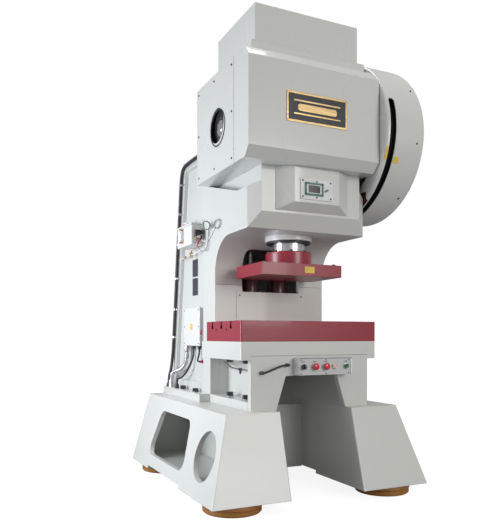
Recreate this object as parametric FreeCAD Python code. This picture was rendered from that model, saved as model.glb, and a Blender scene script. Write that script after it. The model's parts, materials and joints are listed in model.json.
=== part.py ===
"""C-frame mechanical stamping press, single crank, with a round guided ram.

Lengths are in millimetres. The press is described with x = 0 on its centre plane, y = 0 on the
front of the bolster, z = 0 on the floor, the operator in front at -Y. Each piece is moved at the
end so that the origin is under the middle of the whole machine.
"""
import FreeCAD, Part
import math
import os

V = FreeCAD.Vector
X = V(1, 0, 0)
Y = V(0, 1, 0)
Z = V(0, 0, 1)

# ---- driving dimensions -------------------------------------------------------------------
# base
PAD_R = 165.0
PAD_H = 62.0
PAD_X = 500.0
PAD_FRONT_Y = 5.0
PAD_REAR_Y = 1150.0
FOOT_TOP_Z = 522.0
FOOT_INNER_X = 234.0
FOOT_OUTER_TOP_X = 564.0
FOOT_OUTER_BASE_X = 695.0
FOOT_FRONT_TOP_Y = -55.0
FOOT_FRONT_BASE_Y = -182.0
FOOT_WALL = 30.0
FOOT_STEP = 20.0
FOOT_FLOOR = 45.0
TIE_Y = 503.0
TIE_T = 25.0
BASE_FLANGE_T = 50.0
BOLT_R = 12.0
# bed
BED_HALF_W = 450.0
BED_DEPTH = 580.0
BED_BOTTOM_Z = 805.0
BED_TOP_Z = 908.0
WEB_T = 30.0
FRONT_PLATE_T = 40.0
FRONT_PLATE_LAP = 23.0
ARCH_TOP_Z = 714.0
ARCH_TOP_HALF_W = 171.0
ARCH_BASE_HALF_W = 232.0
BOLSTER_T = 117.0
BOLSTER_DEPTH = 500.0
SLOT_Y = (135.0, 268.0, 402.0)
SLOT_W = 18.0
SLOT_HEAD_W = 30.0
SLOT_HEAD_H = 16.0
SLOT_DEPTH = 44.0
# C frame
FRAME_HALF_W = 390.0
FRONT_PLATE_HALF_W = FRAME_HALF_W - 1.0
BASE_FLANGE_X = FRAME_HALF_W + 70.0
SIDE_T = 63.0
THROAT_Y = 503.0
THROAT_T = 30.0
CEILING_Z = 1541.0
THROAT_R = 215.0
CHEEK_FRONT_Y = 45.0
CHEEK_TOP_Z = 1773.0
SHOULDER_Y = 180.0
TOWER_FRONT_Y = 603.0
TOWER_TOP_Z = 2150.0
TOWER_REAR_Y = 1090.0
REAR_BASE_Y = 1318.0
REAR_T = 30.0
POCKET_DEPTH = 25.0
POCKET_FRONT_Y = 700.0
WINDOW_HALF_W = 205.0
WINDOW_Z = (1219.0, 1484.0)
WINDOW_R = 40.0
# head
HEAD_HALF_W = FRAME_HALF_W - SIDE_T
HEAD_WALL = 57.0
HEAD_FRONT_Y = -6.0
CREASE_Z = 1631.0
BEVEL_TOP_Z = 1799.0
HEAD_TOP_Z = 2460.0
CROWN_T = 45.0
CROWN_REAR_Y = 590.0
HOOD_BASE = (241.0, 1644.0)
HOOD_FACE = (146.0, 1688.0)
HOOD_Y = -60.0
SHEET = 5.0
COVER_LEFT_X = -FRAME_HALF_W - 81.0
COVER_RIGHT_X = FRAME_HALF_W - 22.0
COVER_FRONT_Y = -140.0
COVER_LIP_Y = -92.0
COVER_SEAM_Y = 47.0
COVER_BOTTOM_Z = 1887.0
COVER_CHIN_Z = 1942.0
COVER_BROW_Z = 2418.0
COVER_TOP_Z = 2475.0
SIDE_HOLE_R = 100.0
SIDE_HOLE_Y = 285.0
SIDE_HOLE_Z = 2165.0
PLINTH_X = (COVER_LEFT_X + 82.0, COVER_RIGHT_X - 5.0)
PLINTH_Y = (-5.0, 550.0)
PLINTH_TOP_Z = 2562.0
HOUSING_X = (PLINTH_X[0] + 30.0, PLINTH_X[1] - 39.0)
HOUSING_Y = (10.0, 528.0)
HOUSING_TOP_Z = 2779.0
# crank train
AXIS_Y = 270.0
AXIS_Z = 2148.0
THROW = 25.0
JOURNAL_R = 60.0
SHAFT_R = JOURNAL_R - 10.0
STUB_R = JOURNAL_R - 25.0
ECCENTRIC_R = JOURNAL_R + THROW + 5.0
ECCENTRIC_HALF_W = 65.0
RUN_CLEAR = 0.05
BUSH_R = JOURNAL_R + 25.0
ROD_HALF_W = 60.0
ROD_OUTER_R = ECCENTRIC_R + 35.0
ROD_SHANK_R = 45.0
ROD_NECK_R = 28.0
BALL_R = 38.0
BALL_Z = 1715.0
CUP_CLEAR = 7.0
CUP_TOP_Z = 1745.0
SCREW_R = 45.0
SCREW_BOTTOM_Z = 1500.0
# ram
PLUNGER_R = 100.0
PLUNGER_TOP_Z = 1880.0
PLUNGER_CAVITY_R = PLUNGER_R - 20.0
CUP_R = PLUNGER_CAVITY_R - 6.0
CUP_BORE_R = CUP_R - 8.0
PLUNGER_CAVITY_Z = 1640.0
SCREW_BORE_Z = 1490.0
BOSS_R = PLUNGER_R + 42.0
BOSS_TOP_Z = 1444.0
SLIDE_TOP_Z = 1365.0
SLIDE_BOTTOM_Z = 1293.0
SLIDE_HALF_W = 272.0
SLIDE_HALF_D = 174.0
SHANK_HOLE_R = 25.0
SHANK_HOLE_DEPTH = 60.0
DIE_BOLT_R = 9.0
DIE_BOLT_DX = 180.0
DIE_BOLT_DY = 120.0
DIE_BOLT_DEPTH = 40.0
GUIDE_BUSH_R = PLUNGER_R + 25.0
GUIDE_HOUSING_R = GUIDE_BUSH_R + 40.0
GUIDE_TOP_Z = 1800.0
FLANGE_R = PLUNGER_R + 44.0
FLANGE_T = 32.0
SEAL_R = PLUNGER_R + 33.0
SEAL_T = 10.0
LOOSE_CLEAR = 1.0
# air cylinders
CYLINDER_X = 104.0
CYLINDER_R = 57.0
CYLINDER_GAP = 12.0
CYLINDER_TOP_Z = 1340.0
CYLINDER_ROD_R = 20.0
CYLINDER_ROD_TOP_Z = 1640.0
# drive
FLYWHEEL_R = 440.0
FLYWHEEL_RIM_R = FLYWHEEL_R - 70.0
FLYWHEEL_X = (FRAME_HALF_W + 10.0, FRAME_HALF_W + 150.0)
HUB_R = SHAFT_R + 60.0
PULLEY_R = 85.0
MOTOR_Y = 1300.0
MOTOR_Z = 1900.0
MOTOR_R = 125.0
MOTOR_X = (FRAME_HALF_W - 450.0, FRAME_HALF_W - 90.0)
MOTOR_SHAFT_R = 21.0
BELT_X = [FLYWHEEL_X[0] + 28.0 + 24.0 * i for i in range(4)]
BELT_W = 15.0
BELT_T = 10.0
BELT_CLEAR = 0.5
GUARD_R = FLYWHEEL_R + 45.0
GUARD_REAR_R = PULLEY_R + 45.0
GUARD_OUTER_X = FLYWHEEL_X[1] + 135.0
GUARD_INNER_X = COVER_RIGHT_X + 4.0
GUARD_ROUND = 70.0
GUARD_INNER_ROUND = 16.0
GUARD_MOUTH_R = GUARD_R - 100.0
GUARD_SLOT_X = FRAME_HALF_W + 25.0
GUARD_SLOT_HALF_W = 21.0
GUARD_SLOT_DEG = (-80.0, 17.0)
# controls and services
PANEL_X = (-120.0, 235.0)
PANEL_Z = (718.0, 817.0)
PANEL_Y = -60.0
FACE_T = 6.0
CONTROL_Z = 767.0
SELECTOR_X = -98.0
STOP_X = (-22.0, 50.0)
LAMP_X = 110.0
START_X = 188.0
SERVICE_X = -FRAME_HALF_W
GLAND_X = -BASE_FLANGE_X + 32.0
TERMINAL_Y = (737.0, 1026.0)
TERMINAL_Z = (878.0, 1124.0)
SERVICE_RISE = 306.0
SERVICE_LOW = 120.0
SERVICE_HIGH = 220.0
TANK_Y = (690.0, 961.0)
TANK_Z = (1530.0, 1672.0)
TANK_DEPTH = 86.0

FRONT_MOST_Y = min(FOOT_FRONT_BASE_Y, PAD_FRONT_Y - PAD_R, AXIS_Y - GUARD_R)
REAR_MOST_Y = max(REAR_BASE_Y, PAD_REAR_Y + PAD_R, MOTOR_Y + GUARD_REAR_R)
ORIGIN_Y = (FRONT_MOST_Y + REAR_MOST_Y) / 2.0


# ---- building helpers ---------------------------------------------------------------------
def box(x0, x1, y0, y1, z0, z1):
    return Part.makeBox(x1 - x0, y1 - y0, z1 - z0, V(x0, y0, z0))


def rod(radius, start, direction, length):
    return Part.makeCylinder(radius, length, start, direction)


def ring(outer, inner, start, direction, length):
    return rod(outer, start, direction, length).cut(rod(inner, start, direction, length))


def prism_x(outline, x0, x1):
    """Solid between x0 and x1 from an outline of (y, z) points."""
    wire = Part.makePolygon([V(x0, y, z) for y, z in outline + outline[:1]])
    return Part.Face(wire).extrude(V(x1 - x0, 0, 0))


def prism_y(outline, y0, y1):
    """Solid between y0 and y1 from an outline of (x, z) points."""
    wire = Part.makePolygon([V(x, y0, z) for x, z in outline + outline[:1]])
    return Part.Face(wire).extrude(V(0, y1 - y0, 0))


def block(lower, upper):
    """Six-sided solid between two loops of four points, each loop in the same order."""
    middle = V(0, 0, 0)
    for point in lower + upper:
        middle = middle.add(point)
    middle = middle.multiply(1 / 8)

    def face(points):
        loop = points + points[:1]
        flat = Part.Face(Part.makePolygon(loop))
        if flat.normalAt(0, 0).dot(flat.CenterOfMass.sub(middle)) < 0:
            flat = Part.Face(Part.makePolygon(loop[::-1]))
        return flat
    faces = [face(lower), face(upper)]
    for i in range(4):
        j = (i + 1) % 4
        faces.append(face([lower[i], lower[j], upper[j], upper[i]]))
    return Part.makeSolid(Part.makeShell(faces))


def mirrored(shape):
    return shape.mirror(V(0, 0, 0), X)


def rounded(shape, radius, wanted):
    """Fillet the edges for which wanted(edge) is true."""
    return shape.makeFillet(radius, [edge for edge in shape.Edges if wanted(edge)])


def runs_along(edge, axis):
    ends = edge.Vertexes
    if len(ends) < 2:
        return False
    step = ends[1].Point.sub(ends[0].Point)
    return step.Length > 0 and abs(abs(step.normalize().dot(axis)) - 1) < 1e-6


def belt_outline(x, front_r, rear_r):
    """Wire at x round the crank axis with front_r and round the motor axis with rear_r."""
    across = MOTOR_Y - AXIS_Y
    rise = MOTOR_Z - AXIS_Z
    heading = math.atan2(rise, across)
    spread = math.acos((front_r - rear_r) / math.hypot(across, rise))

    def at(radius, centre_y, centre_z, angle):
        return V(x, centre_y + radius * math.cos(angle), centre_z + radius * math.sin(angle))
    front = [at(front_r, AXIS_Y, AXIS_Z, a)
             for a in (heading + spread, heading + math.pi, heading - spread)]
    rear = [at(rear_r, MOTOR_Y, MOTOR_Z, a)
            for a in (heading - spread, heading, heading + spread)]
    return Part.Wire([Part.Arc(*front).toShape(), Part.LineSegment(front[2], rear[0]).toShape(),
                      Part.Arc(*rear).toShape(), Part.LineSegment(rear[2], front[0]).toShape()])


def belt_solid(x0, x1, front_r, rear_r):
    return Part.Face(belt_outline(x0, front_r, rear_r)).extrude(V(x1 - x0, 0, 0))


def rear_y(z):
    """Where the leaning rear face of the frame stands at height z."""
    share = (TOWER_TOP_Z - z) / (TOWER_TOP_Z - FOOT_TOP_Z)
    return TOWER_REAR_Y + share * (REAR_BASE_Y - TOWER_REAR_Y)


def cord(name, points, radius):
    """Round tube along straight runs joined by tangent arcs; prints the arc radii."""
    points = [V(*p) for p in points]
    edges = []
    radii = []
    length = 0.0
    last = points[0]
    for before, corner, after in zip(points, points[1:], points[2:]):
        back = before.sub(corner)
        ahead = after.sub(corner)
        half_turn = (math.pi - back.getAngle(ahead)) / 2.0
        setback = 0.45 * min(back.Length, ahead.Length)
        bend = setback / math.tan(half_turn)
        radii.append(round(bend, 1))
        back.normalize()
        ahead.normalize()
        start = corner.add(back.multiply(setback))
        end = corner.add(ahead.multiply(setback))
        inward = start.sub(corner).add(end.sub(corner))
        inward.normalize()
        middle = corner.add(inward.multiply(bend / math.cos(half_turn) - bend))
        edges.append(Part.LineSegment(last, start).toShape())
        edges.append(Part.Arc(start, middle, end).toShape())
        length += last.distanceToPoint(start) + bend * 2.0 * half_turn
        last = end
    edges.append(Part.LineSegment(last, points[-1]).toShape())
    length += last.distanceToPoint(points[-1])
    heading = points[1].sub(points[0])
    section = Part.Wire(Part.makeCircle(radius, points[0], heading))
    tube = Part.Wire(edges).makePipeShell([section], True, False)
    expected = math.pi * radius ** 2 * length
    print(name, "length", round(length), "radii", radii, "volume ratio",
          round(tube.Volume / expected, 4))
    return tube


# ---- base ---------------------------------------------------------------------------------
def foot_outline(z, inset):
    """Four corners of the right foot at height z, moved inwards by inset."""
    share = (z - PAD_H) / (FOOT_TOP_Z - PAD_H)
    outer = FOOT_OUTER_BASE_X + share * (FOOT_OUTER_TOP_X - FOOT_OUTER_BASE_X) - inset
    front = FOOT_FRONT_BASE_Y + share * (FOOT_FRONT_TOP_Y - FOOT_FRONT_BASE_Y) + inset
    rear = REAR_BASE_Y - inset
    inner = FOOT_INNER_X + inset
    return [V(inner, front, z), V(outer, front, z), V(outer, rear, z), V(inner, rear, z)]


def bolt_places():
    """Centres (x, y) of the hex bolts through the right base flange."""
    near = FRAME_HALF_W - 60.0
    far = BASE_FLANGE_X - 35.0
    return [(near, 185.0), (near, 411.0), (far, 750.0), (far, 990.0)]


def foot():
    body = block(foot_outline(PAD_H, 0.0), foot_outline(FOOT_TOP_Z, 0.0))
    body = rounded(body, 8.0, lambda e: e.BoundBox.ZLength > 100)
    hollow = block(foot_outline(PAD_H + FOOT_FLOOR, FOOT_WALL),
                   foot_outline(FOOT_TOP_Z - FOOT_WALL, FOOT_WALL))
    hole = rod(135.0, V(500, 77, 285), X, 300)
    window = prism_x([(330, 150), (1010, 150), (940, 440), (400, 440)], 500, 800)
    window = rounded(window, 60.0, lambda e: runs_along(e, X))
    arch = box(0, 800, 330, PAD_REAR_Y - PAD_R - 45, PAD_H - 1, PAD_H + FOOT_STEP)
    body = body.cut(hollow).cut(hole).cut(window).cut(arch)
    for x, y in bolt_places():
        body = body.cut(rod(BOLT_R, V(x, y, FOOT_TOP_Z - FOOT_WALL - 1), Z, FOOT_WALL + 2))
    return body


def foot_cross_wall():
    return box(-FOOT_INNER_X, FOOT_INNER_X, TIE_Y, TIE_Y + TIE_T, 77, 491)


def isolation_pad(x, y):
    disc = rod(PAD_R, V(x, y, 0), Z, PAD_H)
    return disc.makeFillet(6.0, [e for e in disc.Edges if e.BoundBox.ZLength < 0.01])


def isolation_pads():
    return [isolation_pad(x, y) for x in (-PAD_X, PAD_X) for y in (PAD_FRONT_Y, PAD_REAR_Y)]


def base_flange():
    """Right foot flange of the frame, wide behind the bed, narrow beside it."""
    plate = box(FOOT_INNER_X, FRAME_HALF_W, FRONT_PLATE_T, BED_DEPTH + 10,
                FOOT_TOP_Z, FOOT_TOP_Z + BASE_FLANGE_T)
    rear = box(FOOT_INNER_X, BASE_FLANGE_X, BED_DEPTH + 10, REAR_BASE_Y,
               FOOT_TOP_Z, FOOT_TOP_Z + BASE_FLANGE_T)
    plate = plate.fuse(rear).removeSplitter()
    for x, y in bolt_places():
        plate = plate.cut(rod(BOLT_R, V(x, y, FOOT_TOP_Z - 1), Z, BASE_FLANGE_T + 2))
    return plate


def hex_bolt(x, y, seat_z, shank, up):
    """M24 hex bolt; its head is above the seat when up is 1 and below it when up is -1."""
    corner_r = BOLT_R * 1.73
    head_h = 26.0
    corners = [V(x + corner_r * math.cos(math.radians(60 * i)),
                 y + corner_r * math.sin(math.radians(60 * i)), seat_z) for i in range(7)]
    head = Part.Face(Part.makePolygon(corners)).extrude(V(0, 0, up * head_h))
    stem = rod(BOLT_R, V(x, y, seat_z), V(0, 0, -up), shank)
    return head.fuse(stem)


def anchor_bolts():
    bolts = []
    for x, y in bolt_places():
        for side in (-1, 1):
            seat = FOOT_TOP_Z + BASE_FLANGE_T
            bolts.append(hex_bolt(side * x, y, seat, BASE_FLANGE_T + FOOT_WALL, 1))
            if y < BED_DEPTH:
                bolts.append(hex_bolt(side * x, y, BED_BOTTOM_Z, 60.0, -1))
    return bolts


# ---- bed ----------------------------------------------------------------------------------
def bed_web():
    """Right upright plate under the bed block, with a closing plate to the side plate."""
    low = FOOT_TOP_Z + BASE_FLANGE_T
    outer_x = FOOT_INNER_X + WEB_T
    web = box(FOOT_INNER_X, outer_x, FRONT_PLATE_T, rear_y(BED_BOTTOM_Z) - REAR_T - 20,
              low, BED_BOTTOM_Z)
    closing = box(outer_x, FRAME_HALF_W - SIDE_T, BED_DEPTH, BED_DEPTH + WEB_T, low, BED_BOTTOM_Z)
    return web.fuse(closing).removeSplitter()


def bed_block():
    body = box(-BED_HALF_W, BED_HALF_W, 0, BED_DEPTH, BED_BOTTOM_Z, BED_TOP_Z)
    body = rounded(body, 12.0, lambda e: runs_along(e, Z))
    body = body.cut(box(-FRONT_PLATE_HALF_W, FRONT_PLATE_HALF_W, -1, FRONT_PLATE_T,
                        BED_BOTTOM_Z - 1, BED_BOTTOM_Z + FRONT_PLATE_LAP))
    for x, y in bolt_places():
        if y < BED_DEPTH:
            for side in (-1, 1):
                body = body.cut(rod(BOLT_R, V(side * x, y, BED_BOTTOM_Z - 1), Z, 61))
    return body


def front_plate():
    plate = box(-FRONT_PLATE_HALF_W, FRONT_PLATE_HALF_W, 0, FRONT_PLATE_T,
                FOOT_TOP_Z, BED_BOTTOM_Z + FRONT_PLATE_LAP)
    arch = prism_y([(-ARCH_BASE_HALF_W, FOOT_TOP_Z - 1), (ARCH_BASE_HALF_W, FOOT_TOP_Z - 1),
                    (ARCH_TOP_HALF_W, ARCH_TOP_Z), (-ARCH_TOP_HALF_W, ARCH_TOP_Z)],
                   -1, FRONT_PLATE_T + 1)
    arch = rounded(arch, 10.0, lambda e: runs_along(e, Y) and e.BoundBox.ZMin > FOOT_TOP_Z)
    return plate.cut(arch)


def bolster():
    top = BED_TOP_Z + BOLSTER_T
    plate = box(-BED_HALF_W, BED_HALF_W, 0, BOLSTER_DEPTH, BED_TOP_Z, top)
    plate = rounded(plate, 10.0, lambda e: runs_along(e, Z))
    for y in SLOT_Y:
        neck = box(-BED_HALF_W - 1, BED_HALF_W + 1, y - SLOT_W / 2, y + SLOT_W / 2,
                   top - SLOT_DEPTH, top + 1)
        head = box(-BED_HALF_W - 1, BED_HALF_W + 1, y - SLOT_HEAD_W / 2, y + SLOT_HEAD_W / 2,
                   top - SLOT_DEPTH, top - SLOT_DEPTH + SLOT_HEAD_H)
        plate = plate.cut(neck).cut(head)
    for y in (193.0, 345.0):
        plate = plate.cut(rod(7.0, V(-BED_HALF_W - 1, y, BED_TOP_Z + 67), X, 31))
    return plate


# ---- C frame ------------------------------------------------------------------------------
def throat_profile(offset, x):
    """Wall and ceiling line of the throat as edges at x, offset away from the die space."""
    centre_y = THROAT_Y - THROAT_R
    centre_z = CEILING_Z - THROAT_R
    radius = THROAT_R + offset
    half = radius * math.sqrt(0.5)
    foot_point = V(x, THROAT_Y + offset, BED_TOP_Z)
    spring = V(x, THROAT_Y + offset, centre_z)
    crown = V(x, centre_y, CEILING_Z + offset)
    lip = V(x, CHEEK_FRONT_Y, CEILING_Z + offset)
    arc = Part.Arc(spring, V(x, centre_y + half, centre_z + half), crown)
    return [Part.LineSegment(foot_point, spring).toShape(), arc.toShape(),
            Part.LineSegment(crown, lip).toShape()]


def closing_lines(start, points):
    """Straight edges from start through the given points."""
    return [Part.LineSegment(a, b).toShape() for a, b in zip([start] + points, points)]


def throat_wall():
    inner = throat_profile(0.0, -FRAME_HALF_W)
    outer = throat_profile(THROAT_T, -FRAME_HALF_W)
    ends = [Part.LineSegment(inner[-1].Vertexes[-1].Point, outer[-1].Vertexes[-1].Point).toShape(),
            Part.LineSegment(inner[0].Vertexes[0].Point, outer[0].Vertexes[0].Point).toShape()]
    wire = Part.Wire(Part.__sortEdges__(inner + outer + ends))
    wall = Part.Face(wire).extrude(V(2 * FRAME_HALF_W, 0, 0))
    wall = wall.cut(window_tool())
    wall = wall.cut(rod(GUIDE_BUSH_R, V(0, AXIS_Y, CEILING_Z - 1), Z, THROAT_T + 2))
    seat_z = CEILING_Z - FLANGE_T - SEAL_T
    return wall.cut(rod(FLANGE_R + LOOSE_CLEAR, V(0, AXIS_Y, seat_z - 2), Z, CEILING_Z - seat_z + 2))


def window_tool():
    tool = box(-WINDOW_HALF_W, WINDOW_HALF_W, THROAT_Y - 200, THROAT_Y + 60, *WINDOW_Z)
    return rounded(tool, WINDOW_R, lambda e: runs_along(e, Y) and e.BoundBox.ZMin > WINDOW_Z[0] + 1)


def throat_cover_plate():
    plate = box(-246, 246, THROAT_Y - 8, THROAT_Y, BED_TOP_Z + BOLSTER_T + 1, 1235)
    plate = rounded(plate, 20.0, lambda e: runs_along(e, Y) and e.BoundBox.ZMin > 1200)
    return plate.cut(window_tool())


def frame_side():
    """Right C-shaped side plate with the shallow panel recess behind the throat."""
    x = FRAME_HALF_W
    throat = throat_profile(THROAT_T, x)
    base_z = FOOT_TOP_Z + BASE_FLANGE_T
    points = [V(x, CHEEK_FRONT_Y, CHEEK_TOP_Z), V(x, SHOULDER_Y, CHEEK_TOP_Z),
              V(x, TOWER_FRONT_Y, COVER_BOTTOM_Z), V(x, TOWER_FRONT_Y, TOWER_TOP_Z),
              V(x, TOWER_REAR_Y, TOWER_TOP_Z), V(x, rear_y(base_z), base_z),
              V(x, BED_DEPTH, base_z), V(x, BED_DEPTH, BED_TOP_Z),
              V(x, THROAT_Y + THROAT_T, BED_TOP_Z)]
    rest = closing_lines(V(x, CHEEK_FRONT_Y, CEILING_Z + THROAT_T), points)
    plate = Part.Face(Part.Wire(Part.__sortEdges__(throat + rest))).extrude(V(-SIDE_T, 0, 0))
    low = base_z + 60
    high = TOWER_TOP_Z - 70
    recess = prism_x([(POCKET_FRONT_Y, low), (rear_y(low) - 60, low), (rear_y(high) - 60, high),
                      (POCKET_FRONT_Y, high)], x - POCKET_DEPTH, x + 1)
    recess = rounded(recess, 30.0, lambda e: runs_along(e, X))
    return plate.cut(recess)


def frame_rear_wall():
    """Leaning rear plate and tower roof between the two side plates."""
    inner_x = FRAME_HALF_W - SIDE_T
    base_z = FOOT_TOP_Z + BASE_FLANGE_T
    outline = [(rear_y(base_z), base_z), (TOWER_REAR_Y, TOWER_TOP_Z),
               (TOWER_FRONT_Y, TOWER_TOP_Z), (TOWER_FRONT_Y, TOWER_TOP_Z - REAR_T),
               (TOWER_REAR_Y - REAR_T, TOWER_TOP_Z - REAR_T), (rear_y(base_z) - REAR_T, base_z)]
    return prism_x(outline, -inner_x, inner_x)


# ---- head ---------------------------------------------------------------------------------
def crown_plate():
    """Right inner head plate that carries a crank bearing."""
    plate = box(HEAD_HALF_W - CROWN_T, HEAD_HALF_W, CHEEK_FRONT_Y, CROWN_REAR_Y,
                CEILING_Z + THROAT_T, HEAD_TOP_Z)
    return plate.cut(rod(BUSH_R, V(0, AXIS_Y, AXIS_Z), X, 500))


def head_front():
    """Front casting of the head: mitred lower lip, flat upper face, hollow behind."""
    def loop(x, y, z0, z1):
        return [V(-x, y, z0), V(x, y, z0), V(x, y, z1), V(-x, y, z1)]
    lip = block(loop(HEAD_HALF_W, HEAD_FRONT_Y, CREASE_Z, BEVEL_TOP_Z),
                loop(FRAME_HALF_W, CHEEK_FRONT_Y, CEILING_Z, CHEEK_TOP_Z))
    face = box(-HEAD_HALF_W, HEAD_HALF_W, HEAD_FRONT_Y, CHEEK_FRONT_Y, CREASE_Z + 80, HEAD_TOP_Z)
    hollow = box(HEAD_WALL - HEAD_HALF_W, HEAD_HALF_W - HEAD_WALL, HEAD_FRONT_Y + 20,
                 CHEEK_FRONT_Y + 1, CREASE_Z + 20, HEAD_TOP_Z - 30)
    return lip.fuse(face).removeSplitter().cut(hollow)


def display_hood():
    def loop(x, y, z0, lift):
        return [V(-x, y, z0), V(x, y, z0), V(x, y, COVER_BOTTOM_Z - lift),
                V(-x, y, COVER_BOTTOM_Z - lift)]
    outer = block(loop(HOOD_BASE[0], HEAD_FRONT_Y, HOOD_BASE[1], 0),
                  loop(HOOD_FACE[0], HOOD_Y, HOOD_FACE[1], 0))
    inner = block(loop(HOOD_BASE[0] - 12, HEAD_FRONT_Y + 0.5, HOOD_BASE[1] + 12, 6),
                  loop(HOOD_FACE[0] - 4, HOOD_Y + 6, HOOD_FACE[1] + 4, 6))
    return outer.cut(inner)


def display_plate():
    plate = box(-112, 98, HOOD_Y - 6, HOOD_Y, 1706, 1822)
    plate = rounded(plate, 8.0, lambda e: runs_along(e, Y))
    return plate.cut(box(-70, 30, HOOD_Y - 7, HOOD_Y + 1, 1737, 1791))


def display_meter():
    """Counter set in the display plate, with a raised bezel round its screen."""
    body = box(-70, 30, HOOD_Y - 6, HOOD_Y, 1737, 1791)
    bezel = box(-78, 38, HOOD_Y - 14, HOOD_Y - 6, 1729, 1799)
    bezel = rounded(bezel, 6.0, lambda e: runs_along(e, Y))
    screen = box(-62, 22, HOOD_Y - 15, HOOD_Y - 11, 1743, 1785)
    return bezel.cut(screen).fuse(body).removeSplitter()


def cover_outline(inset):
    lip = COVER_LIP_Y + inset * 0.6
    return [(COVER_SEAM_Y, COVER_BOTTOM_Z + inset), (lip, COVER_BOTTOM_Z + inset),
            (COVER_FRONT_Y + inset, COVER_CHIN_Z + inset * 0.4),
            (COVER_FRONT_Y + inset, COVER_BROW_Z - inset * 0.4),
            (COVER_LIP_Y + 2 + inset * 0.6, COVER_TOP_Z - inset),
            (COVER_SEAM_Y, COVER_TOP_Z - inset)]


def cover_front():
    outer = prism_x(cover_outline(0.0), COVER_LEFT_X, COVER_RIGHT_X)
    inner = prism_x(cover_outline(SHEET), COVER_LEFT_X + SHEET, COVER_RIGHT_X - SHEET)
    opening = box(-HEAD_HALF_W, HEAD_HALF_W, HEAD_FRONT_Y, COVER_SEAM_Y + 1,
                  COVER_BOTTOM_Z - 1, COVER_BOTTOM_Z + 20)
    return outer.cut(inner).cut(opening)


def cover_side_left():
    wall = box(COVER_LEFT_X, COVER_LEFT_X + SHEET, COVER_SEAM_Y, TOWER_FRONT_Y,
               COVER_BOTTOM_Z, COVER_TOP_Z)
    floor = box(COVER_LEFT_X, -HEAD_HALF_W, COVER_SEAM_Y, TOWER_FRONT_Y,
                COVER_BOTTOM_Z, COVER_BOTTOM_Z + SHEET)
    hole = rod(SIDE_HOLE_R, V(COVER_LEFT_X - 1, SIDE_HOLE_Y, SIDE_HOLE_Z), X, SHEET + 2)
    return wall.fuse(floor).removeSplitter().cut(hole)


def cover_side_right():
    wall = box(COVER_RIGHT_X - SHEET, COVER_RIGHT_X, COVER_SEAM_Y, TOWER_FRONT_Y,
               COVER_BOTTOM_Z, COVER_TOP_Z)
    floor = box(HEAD_HALF_W, COVER_RIGHT_X, COVER_SEAM_Y, TOWER_FRONT_Y,
                COVER_BOTTOM_Z, COVER_BOTTOM_Z + SHEET)
    hole = rod(160, V(HEAD_HALF_W, AXIS_Y, AXIS_Z), X, 100)
    return wall.fuse(floor).removeSplitter().cut(hole)


def cover_roof():
    """Roof and upper rear of the head cover, one folded sheet."""
    left = COVER_LEFT_X + SHEET
    right = COVER_RIGHT_X - SHEET
    roof = box(left, right, COVER_SEAM_Y, TOWER_FRONT_Y, COVER_TOP_Z - SHEET, COVER_TOP_Z)
    back = box(left, right, TOWER_FRONT_Y - SHEET, TOWER_FRONT_Y,
               COVER_BOTTOM_Z + SHEET, COVER_TOP_Z)
    return roof.fuse(back).removeSplitter()


def sheet_case(x_range, y_range, z0, z1):
    """Folded sheet box with an open bottom."""
    outer = box(*x_range, *y_range, z0, z1)
    outer = rounded(outer, 4.0, lambda e: runs_along(e, Z))
    inner = box(x_range[0] + SHEET, x_range[1] - SHEET, y_range[0] + SHEET, y_range[1] - SHEET,
                z0 - 1, z1 - SHEET)
    return outer.cut(inner)


def plinth():
    return sheet_case(PLINTH_X, PLINTH_Y, COVER_TOP_Z, PLINTH_TOP_Z)


def top_housing():
    return sheet_case(HOUSING_X, HOUSING_Y, PLINTH_TOP_Z, HOUSING_TOP_Z)


def name_plate():
    plate = box(-245, 145, COVER_FRONT_Y - 4, COVER_FRONT_Y, 2097, 2262)
    plate = rounded(plate, 10.0, lambda e: runs_along(e, Y))
    field = box(-233, 133, COVER_FRONT_Y - 5, COVER_FRONT_Y - 2.5, 2109, 2250)
    return plate.cut(field)


# ---- crank train --------------------------------------------------------------------------
def main_bush():
    return ring(BUSH_R, JOURNAL_R + RUN_CLEAR, V(HEAD_HALF_W - CROWN_T, AXIS_Y, AXIS_Z), X, CROWN_T)


def crankshaft():
    """Eccentric shaft at top dead centre: stub, journals, eccentric, drive end."""
    def part_at(radius, x0, x1, lift=0.0):
        return rod(radius, V(x0, AXIS_Y, AXIS_Z + lift), X, x1 - x0)
    inner = HEAD_HALF_W - CROWN_T
    shaft = part_at(STUB_R, COVER_LEFT_X + 26, -HEAD_HALF_W - 3)
    shaft = shaft.fuse(part_at(JOURNAL_R, -HEAD_HALF_W - 3, -inner + 3))
    shaft = shaft.fuse(part_at(ECCENTRIC_R - THROW - 1, -inner + 3, inner - 3))
    shaft = shaft.fuse(part_at(JOURNAL_R, inner - 3, HEAD_HALF_W + 3))
    shaft = shaft.fuse(part_at(SHAFT_R, HEAD_HALF_W + 3, GUARD_OUTER_X - 25))
    return shaft.fuse(part_at(ECCENTRIC_R, -ECCENTRIC_HALF_W, ECCENTRIC_HALF_W, THROW))


def encoder_disc():
    return rod(62, V(COVER_LEFT_X + 16, AXIS_Y, AXIS_Z), X, 10)


def clutch_disc():
    """Clutch pack keyed to the drive end of the shaft."""
    pack = ring(170, SHAFT_R, V(FLYWHEEL_X[1] + 32, AXIS_Y, AXIS_Z), X, 30)
    return pack.fuse(ring(90, SHAFT_R, V(FLYWHEEL_X[1] + 62, AXIS_Y, AXIS_Z), X, 13)).removeSplitter()


def brake_ring():
    """Brake body bolted to the right crown plate."""
    return ring(150, JOURNAL_R + 15, V(HEAD_HALF_W, AXIS_Y, AXIS_Z), X, 53)


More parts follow.
